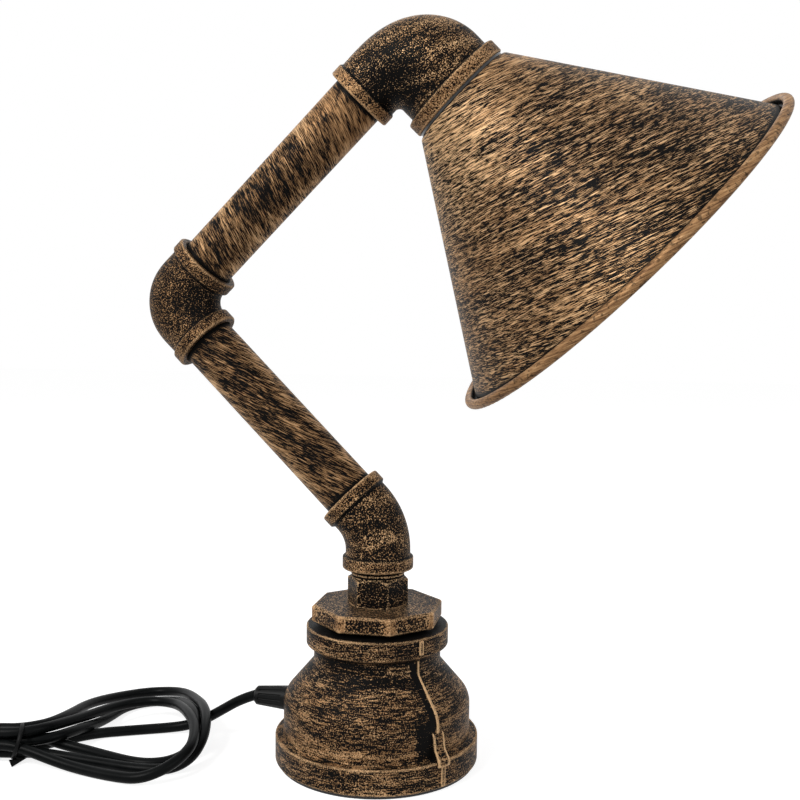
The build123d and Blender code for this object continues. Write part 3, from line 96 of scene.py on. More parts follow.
class Look:
    """One material's nodes, written as short calls. self.at is the place in the shared frame, in
    metres."""

    def __init__(self, name):
        self.material = bpy.data.materials.new(name)
        self.material.use_nodes = True
        self.tree = self.material.node_tree
        self.tree.nodes.clear()
        place = self.add("ShaderNodeTexCoord")
        self.at, self.normal = place.outputs["Object"], place.outputs["Normal"]

    def add(self, kind, **settings):
        node = self.tree.nodes.new(kind)
        for key, value in settings.items():
            setattr(node, key, value)
        return node

    def plug(self, socket, value):
        if isinstance(value, bpy.types.NodeSocket):
            self.tree.links.new(value, socket)
        elif socket.type == "RGBA":
            socket.default_value = (value[0], value[1], value[2], 1.0)
        else:
            socket.default_value = value

    def math(self, operation, a, b=0.0, clamp=False):
        node = self.add("ShaderNodeMath", operation=operation, use_clamp=clamp)
        self.plug(node.inputs[0], a)
        self.plug(node.inputs[1], b)
        return node.outputs[0]

    def total(self, *terms):
        """the sum of value * weight over (value, weight) pairs, where either may be a node's"""
        result = 0.0
        for value, weight in terms:
            node = self.add("ShaderNodeMath", operation="MULTIPLY_ADD")
            self.plug(node.inputs[0], value)
            self.plug(node.inputs[1], weight)
            self.plug(node.inputs[2], result)
            result = node.outputs[0]
        return result

    def vector(self, operation, a, b=None, scale=None):
        node = self.add("ShaderNodeVectorMath", operation=operation)
        self.plug(node.inputs[0], a)
        if b is not None:
            self.plug(node.inputs[1], b)
        if scale is not None:
            self.plug(node.inputs["Scale"], scale)
        gives_number = operation in ("DOT_PRODUCT", "LENGTH", "DISTANCE")
        return node.outputs["Value" if gives_number else "Vector"]

    def noise(self, place, scale=1.0, detail=2.0, rough=0.55, warp=0.0):
        node = self.add("ShaderNodeTexNoise")
        for key, value in (("Vector", place), ("Scale", scale), ("Detail", detail),
                           ("Roughness", rough), ("Distortion", warp)):
            self.plug(node.inputs[key], value)
        return node.outputs[0]

    def along(self, direction, centre=None):
        """how far along the direction a place lies, from the frame's origin or from the centre"""
        place = self.at if centre is None else self.vector("SUBTRACT", self.at, tuple(centre))
        return self.vector("DOT_PRODUCT", place, tuple(direction))

    def grain(self, across, long, wide, detail=2.0, rough=0.55, warp=0.0):
        """noise drawn out into strokes: wide metres along the direction across them, and long
        metres the other ways"""
        denser = self.math("MULTIPLY", self.along(across), 1 / wide - 1 / long)
        denser = self.vector("SCALE", tuple(across), scale=denser)
        place = self.vector("ADD", self.vector("SCALE", self.at, scale=1 / long), denser)
        return self.noise(place, 1.0, detail, rough, warp)

    def less(self, value):
        """1 where value is 0, and 0 where it is 1"""
        return self.math("SUBTRACT", 1.0, value)

    def step(self, value, low, high):
        """0 below low, 1 above high, and smooth between"""
        node = self.add("ShaderNodeMapRange", interpolation_type="SMOOTHSTEP")
        self.plug(node.inputs["Value"], value)
        self.plug(node.inputs["From Min"], low)
        self.plug(node.inputs["From Max"], high)
        return node.outputs["Result"]

    def blend(self, factor, a, b):
        node = self.add("ShaderNodeMix", data_type="RGBA")
        self.plug(node.inputs[0], factor)
        self.plug(node.inputs[6], a)
        self.plug(node.inputs[7], b)
        return node.outputs[2]

    def between(self, factor, a, b):
        node = self.add("ShaderNodeMix", data_type="FLOAT")
        self.plug(node.inputs[0], factor)
        self.plug(node.inputs[2], a)
        self.plug(node.inputs[3], b)
        return node.outputs[0]

    def bump(self, height, depth, normal=None):
        node = self.add("ShaderNodeBump")
        node.inputs["Distance"].default_value = depth
        self.plug(node.inputs["Height"], height)
        if normal is not None:
            self.plug(node.inputs["Normal"], normal)
        return node.outputs[0]

    def blocked(self, radius, inside):
        """how much of a short look around is blocked: outwards, or into the solid"""
        node = self.add("ShaderNodeAmbientOcclusion", inside=inside, only_local=inside, samples=8)
        node.inputs["Distance"].default_value = radius
        return self.less(node.outputs["AO"])

    def edges(self, radius):
        """1 on outside edges, 0 on flats"""
        return self.blocked(radius, True)

    def hollows(self, radius):
        """1 in corners and beside other pieces, 0 in the open"""
        return self.blocked(radius, False)

    def eased(self, radius):
        """the normal that a small rounding of the edges would give"""
        node = self.add("ShaderNodeBevel", samples=4)
        node.inputs["Radius"].default_value = radius
        return node.outputs[0]

    def finish(self, colour, rough, metal=0.0, normal=None, **fixed):
        shader = self.add("ShaderNodeBsdfPrincipled")
        self.plug(shader.inputs["Base Color"], colour)
        self.plug(shader.inputs["Roughness"], rough)
        self.plug(shader.inputs["Metallic"], metal)
        if normal is not None:
            self.plug(shader.inputs["Normal"], normal)
        for key, value in fixed.items():
            shader.inputs[key.replace("_", " ")].default_value = value
        return self.surface(shader)

    def surface(self, shader):
        out = self.add("ShaderNodeOutputMaterial")
        self.tree.links.new(shader.outputs[0], out.inputs["Surface"])
        return self.material


COPPER = (0.345, 0.190, 0.086)
COPPER_PALE = (0.70, 0.455, 0.245)
COPPER_DEEP = (0.120, 0.062, 0.031)
ENAMEL = (0.0034, 0.0031, 0.0029)


def copper_over_black(look, mask, relief, depth, tone, normal=None):
    """black enamel where mask is 0 and dry-brushed copper where it is 1, deep or pale by tone"""
    copper = look.blend(look.step(tone, 0.34, 0.50), COPPER_DEEP, COPPER)
    copper = look.blend(look.step(tone, 0.48, 0.68), copper, COPPER_PALE)
    rough = look.total((mask, 0.02), (relief, 0.14), (1.0, 0.37))
    height = look.total((mask, 0.35), (relief, 0.65))
    return look.finish(look.blend(mask, ENAMEL, copper), rough, look.math("MULTIPLY", mask, 0.30),
                       look.bump(height, depth, normal), Specular_IOR_Level=0.04)


def copper_amount(look, cover, *terms):
    """how much copper shows, black below 0: noises weighed about their middle, and the cover"""
    return look.total((1.0, cover - 0.5 * sum(weight for noise, weight in terms)), *terms)


def casting(name, across, cover, streaks, long, wide, speck, patch, edge, places=(), tint=0.0):
    """a cast fitting's paint: strokes and specks of copper, more on its edges, and less in hollows
    as painted shade

    across is the direction across the strokes, long and wide their size, speck the specks' size,
    streaks the strokes' share of the two, patch how uneven they are, edge how far edges are
    rubbed, places the (shape, weight) pairs that add copper or take it off, and tint how pale
    """
    look = Look(name)
    strokes = look.grain(across, long, wide, 2.0, 0.6)
    specks = look.noise(look.at, 1 / speck, 1.0, 0.5)
    patches = look.grain(across, 0.018, 0.0045, 2.0, 0.5)
    rim = look.step(look.edges(0.0016), 0.08, 0.34)
    # painted shade: less copper in corners and beside other pieces
    hollow_shade = look.step(look.hollows(0.005), 0.30, 0.72)
    value = copper_amount(look, cover, (strokes, streaks), (specks, 1 - streaks), (patches, patch))
    value = look.total((value, 1.0), (rim, edge * 0.3), (hollow_shade, -0.16),
                       *[(shape(look), weight) for shape, weight in places])
    tone = look.total((patches, 0.35), (specks, 0.65), (rim, 0.26), (1.0, tint - 0.05))
    return copper_over_black(look, look.step(value, -0.016, 0.022), specks, 0.00030, tone,
                             look.eased(0.0005))


def above(height, soft=0.0006):
    """1 above a height in the shared frame"""
    return lambda look: look.step(look.along(UP), height - soft, height + soft)


def band(low, high, soft=0.0004, centre=(0, 0, 0), axis=UP):
    """1 between two heights along the axis from the centre"""
    def shape(look):
        height = look.along(axis, centre)
        return look.math("MULTIPLY", look.step(height, low - soft, low + soft),
                         look.less(look.step(height, high - soft, high + soft)))
    return shape


def near(centre, radius):
    """1 at a point of the shared frame, falling to 0 at the radius"""
    return lambda look: look.less(look.step(look.vector("DISTANCE", look.at, tuple(centre)),
                                            0.25 * radius, radius))


def beside(azimuth, shift, width, low, high):
    """1 in an upright strip of the foot, shift metres left of the line at that azimuth, between
    two heights"""
    turn = math.radians(azimuth)
    side = Vector((-math.sin(turn), math.cos(turn), 0))
    face = Vector((math.cos(turn), math.sin(turn), 0))

    def shape(look):
        offset = look.math("ABSOLUTE", look.math("ADD", look.along(side), shift))
        strip = look.less(look.step(offset, 0.30 * width, 0.70 * width))
        front = look.step(look.along(face), 0.005, 0.012)
        return look.math("MULTIPLY", look.math("MULTIPLY", strip, front),
                         band(low, high, 0.003)(look))
    return shape


def beaded(centre, axis, bead, groove, more, less):
    """the places of a fitting's bead, rubbed to copper, and of the painted shade in the groove
    beside it
    """
    return [(band(*bead, centre=centre, axis=axis), more),
            (band(*groove, centre=centre, axis=axis), -less)]


PIPE_FRONT = Vector((0.22, -0.97, 0.05))  # the side of both pipes with less copper


def pipe(name, centre, axis, across, bright_end=None):
    """a pipe's paint: slanting strokes, a darker band along its front, and painted shade at its
    ends
    """
    look = Look(name)
    fine = look.grain(across, 0.0050, 0.00025, 2.0, 0.6, 0.15)
    coarse = look.grain(across, 0.012, 0.0007, 2.0, 0.6, 0.3)
    blotch = look.grain(across, 0.022, 0.0060, 1.0, 0.5)
    front = (PIPE_FRONT - axis * PIPE_FRONT.dot(axis)).normalized()
    middle = look.step(look.along(front, centre), 0.0060, 0.0130)
    # painted shade: less copper where the pipe's ends go into the fittings
    ends = look.step(look.hollows(0.004), 0.10, 0.40)
    value = copper_amount(look, 0.004, (fine, 0.84), (coarse, 0.20), (blotch, 0.24))
    value = look.total((value, 1.0), (middle, -0.055), (ends, -0.22))
    if bright_end is not None:
        bright = band(*bright_end, soft=0.006, centre=centre, axis=axis)
        value = look.total((bright(look), 0.07), (value, 1.0))
    tone = look.total((coarse, 0.4), (fine, 0.5), (blotch, 0.3), (middle, -0.09), (1.0, -0.09))
    return copper_over_black(look, look.step(value, -0.026, 0.032), fine, 0.00012, tone)


SHADE_STROKES = Vector((0.436, 0.119, -0.891)).normalized()  # across the shade's strokes
# the direction of the side of the shade that gets a painted highlight
SHADE_HIGHLIGHT_SIDE = (-0.62, -0.55, -0.50)  # towards the shade's paler side


def shade_sheet():
    """the shade's paint: long strokes, a painted highlight near the mouth on its lit side, painted
    shade in the trough inside the rim, and a copper bead"""
    look = Look("brushed_shade")
    off = look.vector("SUBTRACT", look.at, tuple(SHADE_MOUTH))
    depth = look.vector("DOT_PRODUCT", off, tuple(SHADE))
    radial = look.vector("SUBTRACT", off, look.vector("SCALE", tuple(SHADE), scale=depth))
    radius = look.vector("LENGTH", radial)
    outward = look.vector("DOT_PRODUCT", look.normal, look.vector("NORMALIZE", radial))
    outside = look.step(outward, -0.05, 0.05)
    fine = look.grain(SHADE_STROKES, 0.0048, 0.00029, 2.0, 0.65, 0.3)
    coarse = look.grain(SHADE_STROKES, 0.020, 0.0009, 2.0, 0.6, 0.2)
    blotch = look.grain(SHADE_STROKES, 0.045, 0.010, 1.0, 0.5)
    # painted highlight: more copper near the mouth and on the lit side, and a paler tone where
    # both meet
    mouth_highlight = look.less(look.step(depth, 0.0, 0.06))
    left = look.step(look.vector("DOT_PRODUCT", radial, SHADE_HIGHLIGHT_SIDE), 0.0, 0.05)
    value = copper_amount(look, -0.104, (fine, 0.90), (coarse, 0.20), (blotch, 0.16))
    value = look.total((value, 1.0), (mouth_highlight, 0.045), (left, 0.015), (outside, 0.055))
    # painted shade: black enamel in the trough between the cone and the bead
    trough = look.math("MULTIPLY", look.step(radius, 0.0958, 0.0966),
                       look.step(depth, 0.1035, 0.1045))
    mask = look.math("MULTIPLY", look.step(value, -0.020, 0.024), look.less(trough))
    worn = look.step(look.noise(look.at, 420.0, 2.0), 0.36, 0.44)
    bead = look.math("MULTIPLY", look.step(radius, 0.0993, 0.0998), look.between(worn, 0.35, 1.0))
    painted_highlight = look.math("MULTIPLY", mouth_highlight, left)
    tone = look.total((coarse, 0.5), (fine, 0.5), (painted_highlight, 0.14), (bead, -0.05))
    return copper_over_black(look, look.math("MAXIMUM", mask, bead), fine, 0.00010, tone)


def moulded(name, colour, rough, grit=0.00025, depth=0.00003, **fixed):
    """moulded plastic, rubber or glaze: a fine grit, and a slow change of shade and gloss"""
    look = Look(name)
    fine = look.noise(look.at, 1 / grit, 2.0)
    broad = look.noise(look.at, 60.0, 3.0, 0.6)
    pale = tuple(min(1.0, 1.22 * c + 0.002) for c in colour)
    tint = look.blend(look.step(broad, 0.32, 0.70), tuple(0.86 * c for c in colour), pale)
    relief = look.bump(look.total((fine, 0.6), (broad, 0.4)), depth)
    return look.finish(tint, look.total((broad, 0.14), (1.0, rough - 0.07)), 0.0, relief, **fixed)


def metal(name, colour, rough, across=UP, long=0.004, wide=0.00015):
    """bare metal with fine lines from its making, and duller patches"""
    look = Look(name)
    lines = look.grain(across, long, wide, 2.0)
    broad = look.noise(look.at, 140.0, 3.0, 0.6)
    tint = look.blend(look.step(broad, 0.3, 0.72), tuple(0.72 * c for c in colour), colour)
    gloss = look.total((lines, 0.16), (broad, 0.12), (1.0, rough - 0.14))
    return look.finish(tint, gloss, 1.0, look.bump(lines, 0.00002))


def glass():
    look = Look("clear_glass")
    ripple = look.noise(look.at, 55.0, 2.0)
    tint = look.blend(ripple, (0.97, 0.93, 0.86), (1.0, 0.985, 0.95))
    return look.finish(tint, look.total((ripple, 0.03), (1.0, 0.01)), 0.0,
                       look.bump(ripple, 0.0002), IOR=1.45, Transmission_Weight=1.0)


def filament_coat():
    look = Look("filament_coat")
    grain = look.noise(look.at, 1800.0, 2.0)
    tint = look.blend(grain, (0.80, 0.50, 0.10), (0.96, 0.70, 0.22))
    return look.finish(tint, look.total((grain, 0.2), (1.0, 0.5)), 0.0, look.bump(grain, 0.00005))


def sleeve(name, first, second, across, pitch):
    """a wire's sleeve, with the second colour as a stripe"""
    look = Look(name)
    wave = look.math("SINE", look.math("MULTIPLY", look.along(across), 2 * math.pi / pitch))
    broad = look.noise(look.at, 300.0, 2.0)
    return look.finish(look.blend(look.step(wave, -0.1, 0.1), first, second),
                       look.total((broad, 0.12), (1.0, 0.30)), 0.0, look.bump(broad, 0.00005))


OCTAGON_TURN = 24.4  # degrees, the azimuth of one of its corners


def octagon_edges(look):
    """1 at the upright corners of the eight-sided bushing"""
    reach = 0.0
    for k in range(8):
        turn = math.radians(OCTAGON_TURN + 45 * k)
        corner = Vector((math.cos(turn), math.sin(turn), 0))
        reach = look.math("MAXIMUM", reach, look.along(corner))
    return look.step(reach, 0.0310, 0.0322)


plated = metal("zinc_plate", (0.56, 0.56, 0.57), 0.36)
brass = metal("plain_brass", (0.72, 0.53, 0.25), 0.30)
black_plastic = moulded("black_plastic", (0.0035, 0.0037, 0.0039), 0.42, Specular_IOR_Level=0.10)
flex_skin = moulded("flex_pvc", (0.0026, 0.0032, 0.0034), 0.36, 0.0006, 0.00004,
                    Specular_IOR_Level=0.05)
dark_holder = moulded("holder_plastic", (0.020, 0.019, 0.019), 0.30)
glaze = moulded("glazed_ceramic", (0.82, 0.81, 0.76), 0.16, 0.0009, 0.00003, Coat_Weight=0.4,
                Coat_Roughness=0.08)
clear = glass()
SEAM = -38  # degrees, the azimuth of the parting line on the side that is seen

looks = {
    "foot_pad": moulded("pad_rubber", (0.016, 0.016, 0.016), 0.72, 0.0004, 0.00008),
    "base_casting": casting(
        "brushed_base", UP, cover=-0.038, streaks=0.52, long=0.0056, wide=0.00048,
        speck=0.00052, patch=0.20, edge=0.75,
        places=[(beside(SEAM, 0.0068, 0.0090, 0.015, 0.032), -0.125),
                (beside(SEAM, 0.0024, 0.0030, 0.030, 0.056), -0.13),
                # painted shade on the neck (0.044 to 0.058) and a painted highlight low on the
                # dome (0.0145 to 0.024)
                (band(0.044, 0.058, 0.003), -0.040), (above(0.0682, 0.0002), -0.14),
                (band(0.0145, 0.024, 0.003), 0.030), (band(0.0598, 0.0684, 0.0006), -0.010)]),
    "octagon_bushing": casting(
        "brushed_octagon", UP, cover=-0.046, streaks=0.14, long=0.0020, wide=0.0007,
        speck=0.00070, patch=0.14, edge=0.9,
        places=[(above(0.0783), -0.035), (octagon_edges, 0.20)]),
    "hex_nipple": casting(
        "brushed_nipple", UP, cover=-0.100, streaks=0.30, long=0.0022, wide=0.0005,
        speck=0.0006, patch=0.20, edge=0.38),
    "elbow_45": casting(
        "brushed_elbow_45", UP, cover=-0.064, streaks=0.22, long=0.0024, wide=0.0005,
        speck=0.00058, patch=0.25, edge=0.7,
        places=beaded((0, 0, 0), UP, (0.0962, 0.1021), (0.1021, 0.1031), 0.035, 0.10)
        + beaded(ELBOW_45, LOWER, (0.0151, 0.0210), (0.0136, 0.0151), 0.045, 0.12)),
    "mid_elbow": casting(
        "brushed_mid_elbow", Vector((1, 0, 0)), cover=-0.080, streaks=0.08, long=0.0020,
        wide=0.0007, speck=0.00052, patch=0.10, edge=0.75, tint=-0.05,
        places=beaded(MID_ELBOW, LOWER, (-0.0282, -0.0223), (-0.0223, -0.0210), 0.045, 0.10)
        + beaded(MID_ELBOW, UPPER, (0.0223, 0.0282), (0.0210, 0.0223), 0.045, 0.10)
        # painted shade in the crotch of the elbow
        + [(near(MID_ELBOW + Vector((0.021, -0.008, 0)), 0.018), -0.050)]),
    "top_elbow": casting(
        "brushed_top_elbow", SHADE_STROKES, cover=-0.054, streaks=0.28, long=0.0030,
        wide=0.0006, speck=0.00055, patch=0.22, edge=0.75,
        places=beaded(TOP_ELBOW, UPPER, (-0.0361, -0.0302), (-0.0302, -0.0290), 0.085, 0.10)
        + beaded(TOP_ELBOW, SHADE, (0.0269, 0.0336), (0.0256, 0.0269), 0.070, 0.12)
        # a painted highlight on the top of the elbow, and painted shade in its crotch
        + [(above(TOP_ELBOW.z + 0.013, 0.010), 0.130),
           (near(TOP_ELBOW + Vector((-0.004, -0.012, -0.020)), 0.025), -0.070)]),
    "lower_pipe": pipe("brushed_lower_pipe", ELBOW_45, LOWER,
                       Vector((0.398, 0.156, 0.904)).normalized()),
    "upper_pipe": pipe("brushed_upper_pipe", MID_ELBOW, UPPER,
                       Vector((0.853, 0.229, 0.468)).normalized(), bright_end=(0.115, 0.140)),
    "shade": shade_sheet(),
    "ballast_disc": plated, "earth_screw": plated,
    "terminal_block": moulded("terminal_plastic", (0.80, 0.80, 0.76), 0.42,
                              Subsurface_Weight=0.05),
    "terminal_screws": brass, "earth_ring": brass,
    "earth_lead": sleeve("earth_sleeve", (0.08, 0.30, 0.04), (0.75, 0.62, 0.03),
                         Vector((1, 1, 0)).normalized(), 0.004),
    "flex_inner": flex_skin,
    "holder_cap": dark_holder, "holder_sleeve": dark_holder, "shade_ring": dark_holder,
    "holder_ring": plated, "holder_core": glaze, "holder_shell": brass, "holder_contact": brass,
    "bulb_cap": metal("cap_alloy", (0.74, 0.74, 0.75), 0.30, SHADE, 0.01, 0.0002),
    "bulb_glass": clear, "bulb_stem": clear, "bulb_filaments": filament_coat(),
    "switch_pin": plated, "switch_contacts": brass, "switch_screws": plated,
    "plug_pins": brass, "plug_fuse": glaze, "plug_screw": plated,
    "cord_tie": moulded("tie_plastic", (0.0040, 0.0042, 0.0044), 0.45, Specular_IOR_Level=0.08),
}
for name in ("base_wires", "lower_wires", "upper_wires", "head_wires"):
    looks[name] = sleeve("wire_sleeve_" + name, (0.10, 0.045, 0.02), (0.02, 0.07, 0.30),
                         (UP - Vector((0, 0.9, 0))).normalized(), 0.006)


def wear(thing, material):
    if not thing.material_slots:
        thing.data.materials.append(material)
    for slot in thing.material_slots:
        slot.material = material


for name, thing in nodes.items():
    flexible = name in ("cord", "cord_hank", "cord_tail", "plug_lead")
    wear(thing, looks.get(name, flex_skin if flexible else black_plastic))


# ---- the flex --------------------------------------------------------------------
# Its control points, in mm, in the order it is wound: from the gland to the tie, then round the
# hank's loops by turns left and right of the tie, and out to the switch and the plug. ALONG is the
# way from the tie to the hank's far end, out of the photograph, and ASIDE is across the strands.

TIE = Vector((-172, -48, 0))
ALONG = Vector((-0.9799, -0.1994, 0))
ASIDE = Vector((-0.1994, 0.9799, 0))
TAB_LEFT, TAB_RIGHT, TAB_TIP = (-171.5, -53.9, 2.2), (-164.4, -49.6, 2.2), (-167.6, -57.4, 0.4)


def at_tie(along, aside, height):
    return tuple(TIE + ALONG * along + ASIDE * aside + UP * height)


def through_tie(aside, height, rightwards=False):
    """the two points of a strand in the tie"""
    places = [at_tie(0, aside, height), at_tie(9, aside, height)]
    return places[::-1] if rightwards else places


def far_turn(radius, height, going, coming):
    """one turn at the hank's far end, with the points that lead to it and back"""
    bend = []
    for degrees in range(105, -106, -30):
        turn = math.radians(degrees)
        bend.append(at_tie(66 + radius * math.cos(turn), -11 + radius * math.sin(turn), height))
    return [at_tie(*p) for p in going] + bend + [at_tie(*p) for p in coming]


gland_to_tie = [
    (-64, 0, 25.8), (-72, 0.6, 22.8), (-85, 3, 14.2), (-94, 4.6, 8.4), (-104, 4.4, 4.1),
    (-113.5, 2, 2.9), (-122.8, -1.9, 2.7), (-134, -7.4, 2.7), (-145.5, -13.8, 2.9),
    (-154, -24, 3.5), (-161, -34, 4), (-168, -42, 4.2), (-177, -46.2, 4.4), (-187, -47.7, 4.4),
]
first_loop = [
    (-164, -47.4, 14.9), (-158.2, -40, 14.8), (-154.8, -28, 13.4), (-152, -14.5, 11.6),
    (-149, -2, 10.6), (-144.5, 9, 9.8), (-137, 17.6, 9.4), (-126.5, 20.2, 9.6), (-116, 16, 10.6),
    (-107.3, 6.4, 12.6), (-98.8, -5.1, 14.4), (-90.8, -16.5, 14.8), (-85, -29, 13.8),
    (-82.1, -39.6, 12.2), (-84.3, -49.9, 9.4), (-90.9, -57.4, 6), (-100.1, -60.8, 3.4),
    (-112, -59.4, 2.7), (-125, -57.4, 2.7), (-138, -55.8, 3.6), (-149.5, -54.8, 5.6),
    (-160.5, -54, 8),
]
second_loop = [
    (-165.6, -41.3, 14.8), (-161, -34.7, 14.6), (-159.6, -25.4, 13.9), (-160.8, -12.4, 12),
    (-162.8, 1.5, 10), (-162.8, 14.5, 8), (-160.5, 26.5, 6), (-156, 37.5, 4.4), (-148, 46.6, 3.7),
    (-137, 49.6, 4.2), (-126, 45.3, 6.2), (-116.5, 36, 8.4), (-107.5, 24.5, 10.8),
    (-98.5, 11.5, 13.4), (-91, -1.5, 14.6), (-85.5, -13.5, 14), (-82.3, -25, 10.4),
    (-83, -35.5, 5.6), (-88.3, -43.6, 3), (-97.2, -48.2, 2.7), (-109.5, -48.9, 2.7),
    (-123, -47.4, 2.7), (-137, -46.6, 3), (-150.5, -46.2, 3.6), (-162, -47.2, 4.4),
]
third_loop = [
    (-163.5, -46, 9.6), (-155, -41, 10.2), (-150.3, -32.5, 10.2), (-149.2, -20, 8.2),
    (-149.8, -6.5, 5), (-150, 5.5, 3.6), (-150.3, 14.5, 3.1), (-149.4, 23.7, 3),
    (-143.6, 32.8, 2.9), (-133.6, 36.9, 3.2), (-123, 34.6, 4.8), (-115.7, 26.6, 7.2),
    (-107.6, 16.2, 9.8), (-98.9, 4.2, 11.2), (-92.9, -8.1, 9.6), (-88.2, -19.2, 7),
    (-88.6, -29, 4.4), (-93.6, -37.4, 3), (-102.2, -42.2, 2.7), (-112.5, -42.4, 2.7),
    (-124, -39.6, 2.7), (-135.5, -37, 3), (-146, -35.8, 3.8), (-155.5, -36.4, 5.6),
    (-165, -39.6, 9.8),
]
tie_to_plug = [
    (-193.5, -44.6, 8.4), (-203.5, -38.2, 5.8), (-211, -28.2, 3.8), (-219.5, -17.8, 2.8),
    (-234.5, -10, 2.7), (-251, -9.5, 2.7), (-265, -13.5, 3.2), (-275.2, -22.2, 5.2),
    (-280.6, -33.2, 7.8), (-281, -45, 9), (-281, -107, 9), (-281, -118.8, 8.2),
    (-276.2, -130.4, 7.4), (-267.4, -139.2, 7.8), (-255.8, -144, 9.4), (-243, -144, 11),
]
flex_points = (
    gland_to_tie
    + far_turn(22.5, 2.7, [(24, 5.6, 3.2), (37, 9, 2.7), (49, 11.2, 2.7)],
               [(50, -26.5, 4.2), (38, -17.5, 9.6), (24.5, -8, 14.4), (17, -4.4, 14.8)])
    + through_tie(-2.8, 14.6, rightwards=True) + first_loop + through_tie(-5.4, 9.4)
    + far_turn(19.8, 7.3, [(22, -8.5, 9.4), (35, -5, 9.4), (48, 2, 8)],
               [(50, -23, 9), (37, -11.5, 13.2), (25, -2.5, 15.1), (17, 1.2, 14.8)])
    + through_tie(2.8, 14.6, rightwards=True) + second_loop + through_tie(-2.7, 4.7)
    + far_turn(17, 2.7, [(22, -0.6, 2.7), (36, 2.8, 2.7), (50, 4.4, 2.7)],
               [(52, -22.5, 2.8), (41, -14.5, 2.9), (30, -6, 3.7), (19.5, -1.6, 8.2)])
    + through_tie(0, 9.4, rightwards=True) + third_loop + through_tie(5.4, 10.0)
    + tie_to_plug
)


def smooth_curve(name, points, radius, material):
    data = bpy.data.curves.new(name, "CURVE")
    data.dimensions, data.resolution_u = "3D", 6
    data.bevel_depth, data.bevel_resolution, data.use_fill_caps = radius, 5, True
    spline = data.splines.new("NURBS")
    spline.points.add(len(points) - 1)
    for target, place in zip(spline.points, points):
        target.co = (*(Vector(place) * MM), 1)
    spline.order_u, spline.use_endpoint_u = 3, True
    thing = bpy.data.objects.new(name, data)
    bpy.context.scene.collection.objects.link(thing)
    data.materials.append(material)
    return thing


flex = smooth_curve("flex", flex_points, 0.0026, flex_skin)
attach(flex, "stand")
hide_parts("cord", "cord_hank", "cord_tail", "plug_lead")


def mesh_piece(name, bm, material, body):
    data = bpy.data.meshes.new(name)
    bm.normal_update()
    bm.to_mesh(data)
    bm.free()
    for face in data.polygons:
        face.use_smooth = True
    data.materials.append(material)
    thing = bpy.data.objects.new(name, data)
    bpy.context.scene.collection.objects.link(thing)
    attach(thing, body)
    return thing


def skin(bm, rings):
    """faces between neighbouring rings of four points"""
    for a, b in zip(rings, rings[1:]):
        for k in range(4):
            bm.faces.new((a[k], a[(k + 1) % 4], b[(k + 1) % 4], b[k]))


def twist_tie():
    """a flat strip wrapped once round the hank, its two ends twisted into a pointed tab"""
    bm = bmesh.new()
    half_wide, thick, steps = 1.15, 0.45, 48
    section = ((-half_wide, 0), (-half_wide * 0.55, thick), (half_wide * 0.55, thick),
               (half_wide, 0))
    rings = []
    for k in range(steps + 1):
        turn = math.radians(250 + 360 * k / steps)
        aside, height = 9.1 * math.cos(turn) - 0.5, 9.7 + 7.9 * math.sin(turn)
        lean = 3.0 * math.cos(turn) - 2.5 * math.sin(turn) - 1.7
        ring = []
        for along, out in section:
            place = at_tie(along + lean, aside + out * math.cos(turn),
                           height + out * math.sin(turn))
            ring.append(bm.verts.new(Vector(place) * MM))
        rings.append(ring)
    skin(bm, rings)
    tab = []
    for k in range(9):
        t = k / 8
        left = Vector(TAB_LEFT).lerp(Vector(TAB_TIP), t)
        right = Vector(TAB_RIGHT).lerp(Vector(TAB_TIP), t ** 1.25)
        crease = left.lerp(right, 0.45) + UP * (1.1 * (1 - t) + 0.3)
        fold = left.lerp(right, 0.3) + UP * 0.35
        tab.append([bm.verts.new(place * MM) for place in (left, right, crease, fold)])
    skin(bm, tab)
    bm.faces.new(tab[-1])
    bm.faces.new(tab[0][::-1])
    return mesh_piece("twist_tie", bm, looks["cord_tie"], "stand")


tie = twist_tie()
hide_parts("cord_tie")


# ---- the floor and the backdrop ----------------------------------------------------

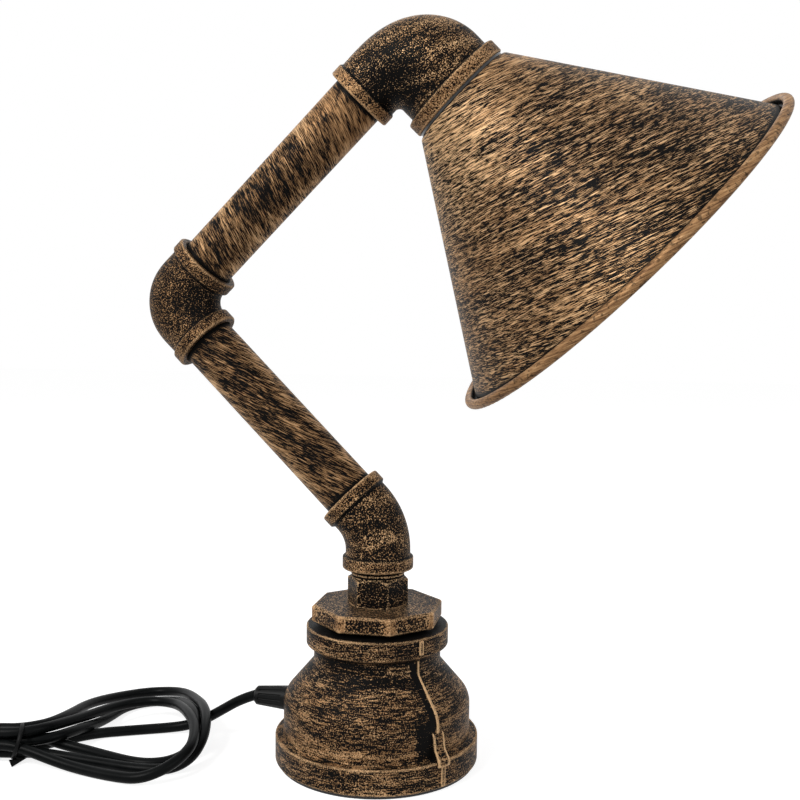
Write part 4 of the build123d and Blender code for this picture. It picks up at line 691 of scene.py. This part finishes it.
def pale_floor():
    """a grey floor that takes shadows, and shows as near white where it is seen"""
    look = Look("pale_floor")
    path = look.add("ShaderNodeLightPath")
    seen = look.math("MAXIMUM", path.outputs["Is Glossy Ray"],
                     path.outputs["Is Transmission Ray"])
    seen = look.math("MAXIMUM", path.outputs["Is Camera Ray"], seen)
    matt, glow = look.add("ShaderNodeBsdfDiffuse"), look.add("ShaderNodeEmission")
    both = look.add("ShaderNodeAddShader")
    matt.inputs["Color"].default_value = (0.42, 0.42, 0.42, 1)
    look.plug(glow.inputs["Strength"], look.math("MULTIPLY", seen, 0.84))
    look.tree.links.new(matt.outputs[0], both.inputs[0])
    look.tree.links.new(glow.outputs[0], both.inputs[1])
    look.surface(both)
    bm = bmesh.new()
    bmesh.ops.create_grid(bm, x_segments=8, y_segments=8, size=4.0)
    data = bpy.data.meshes.new("floor")
    bm.to_mesh(data)
    bm.free()
    data.materials.append(look.material)
    floor = bpy.data.objects.new("floor", data)
    floor.location.z = -0.00005
    bpy.context.scene.collection.objects.link(floor)


def pale_world():
    """plain even light, and white where it is seen"""
    world = bpy.data.worlds.new("studio")
    bpy.context.scene.world = world
    world.use_nodes = True
    tree = world.node_tree
    tree.nodes.clear()
    path = tree.nodes.new("ShaderNodeLightPath")
    seen, seen_all = tree.nodes.new("ShaderNodeMath"), tree.nodes.new("ShaderNodeMath")
    level, back = tree.nodes.new("ShaderNodeMapRange"), tree.nodes.new("ShaderNodeBackground")
    out = tree.nodes.new("ShaderNodeOutputWorld")
    seen.operation = seen_all.operation = "MAXIMUM"
    level.inputs["To Min"].default_value, level.inputs["To Max"].default_value = 0.36, 1.0
    back.inputs["Color"].default_value = (1, 1, 1, 1)
    for source, target in ((path.outputs["Is Camera Ray"], seen.inputs[0]),
                           (path.outputs["Is Glossy Ray"], seen.inputs[1]),
                           (seen.outputs[0], seen_all.inputs[0]),
                           (path.outputs["Is Transmission Ray"], seen_all.inputs[1]),
                           (seen_all.outputs[0], level.inputs["Value"]),
                           (level.outputs["Result"], back.inputs["Strength"]),
                           (back.outputs[0], out.inputs["Surface"])):
        tree.links.new(source, target)


pale_floor()
pale_world()
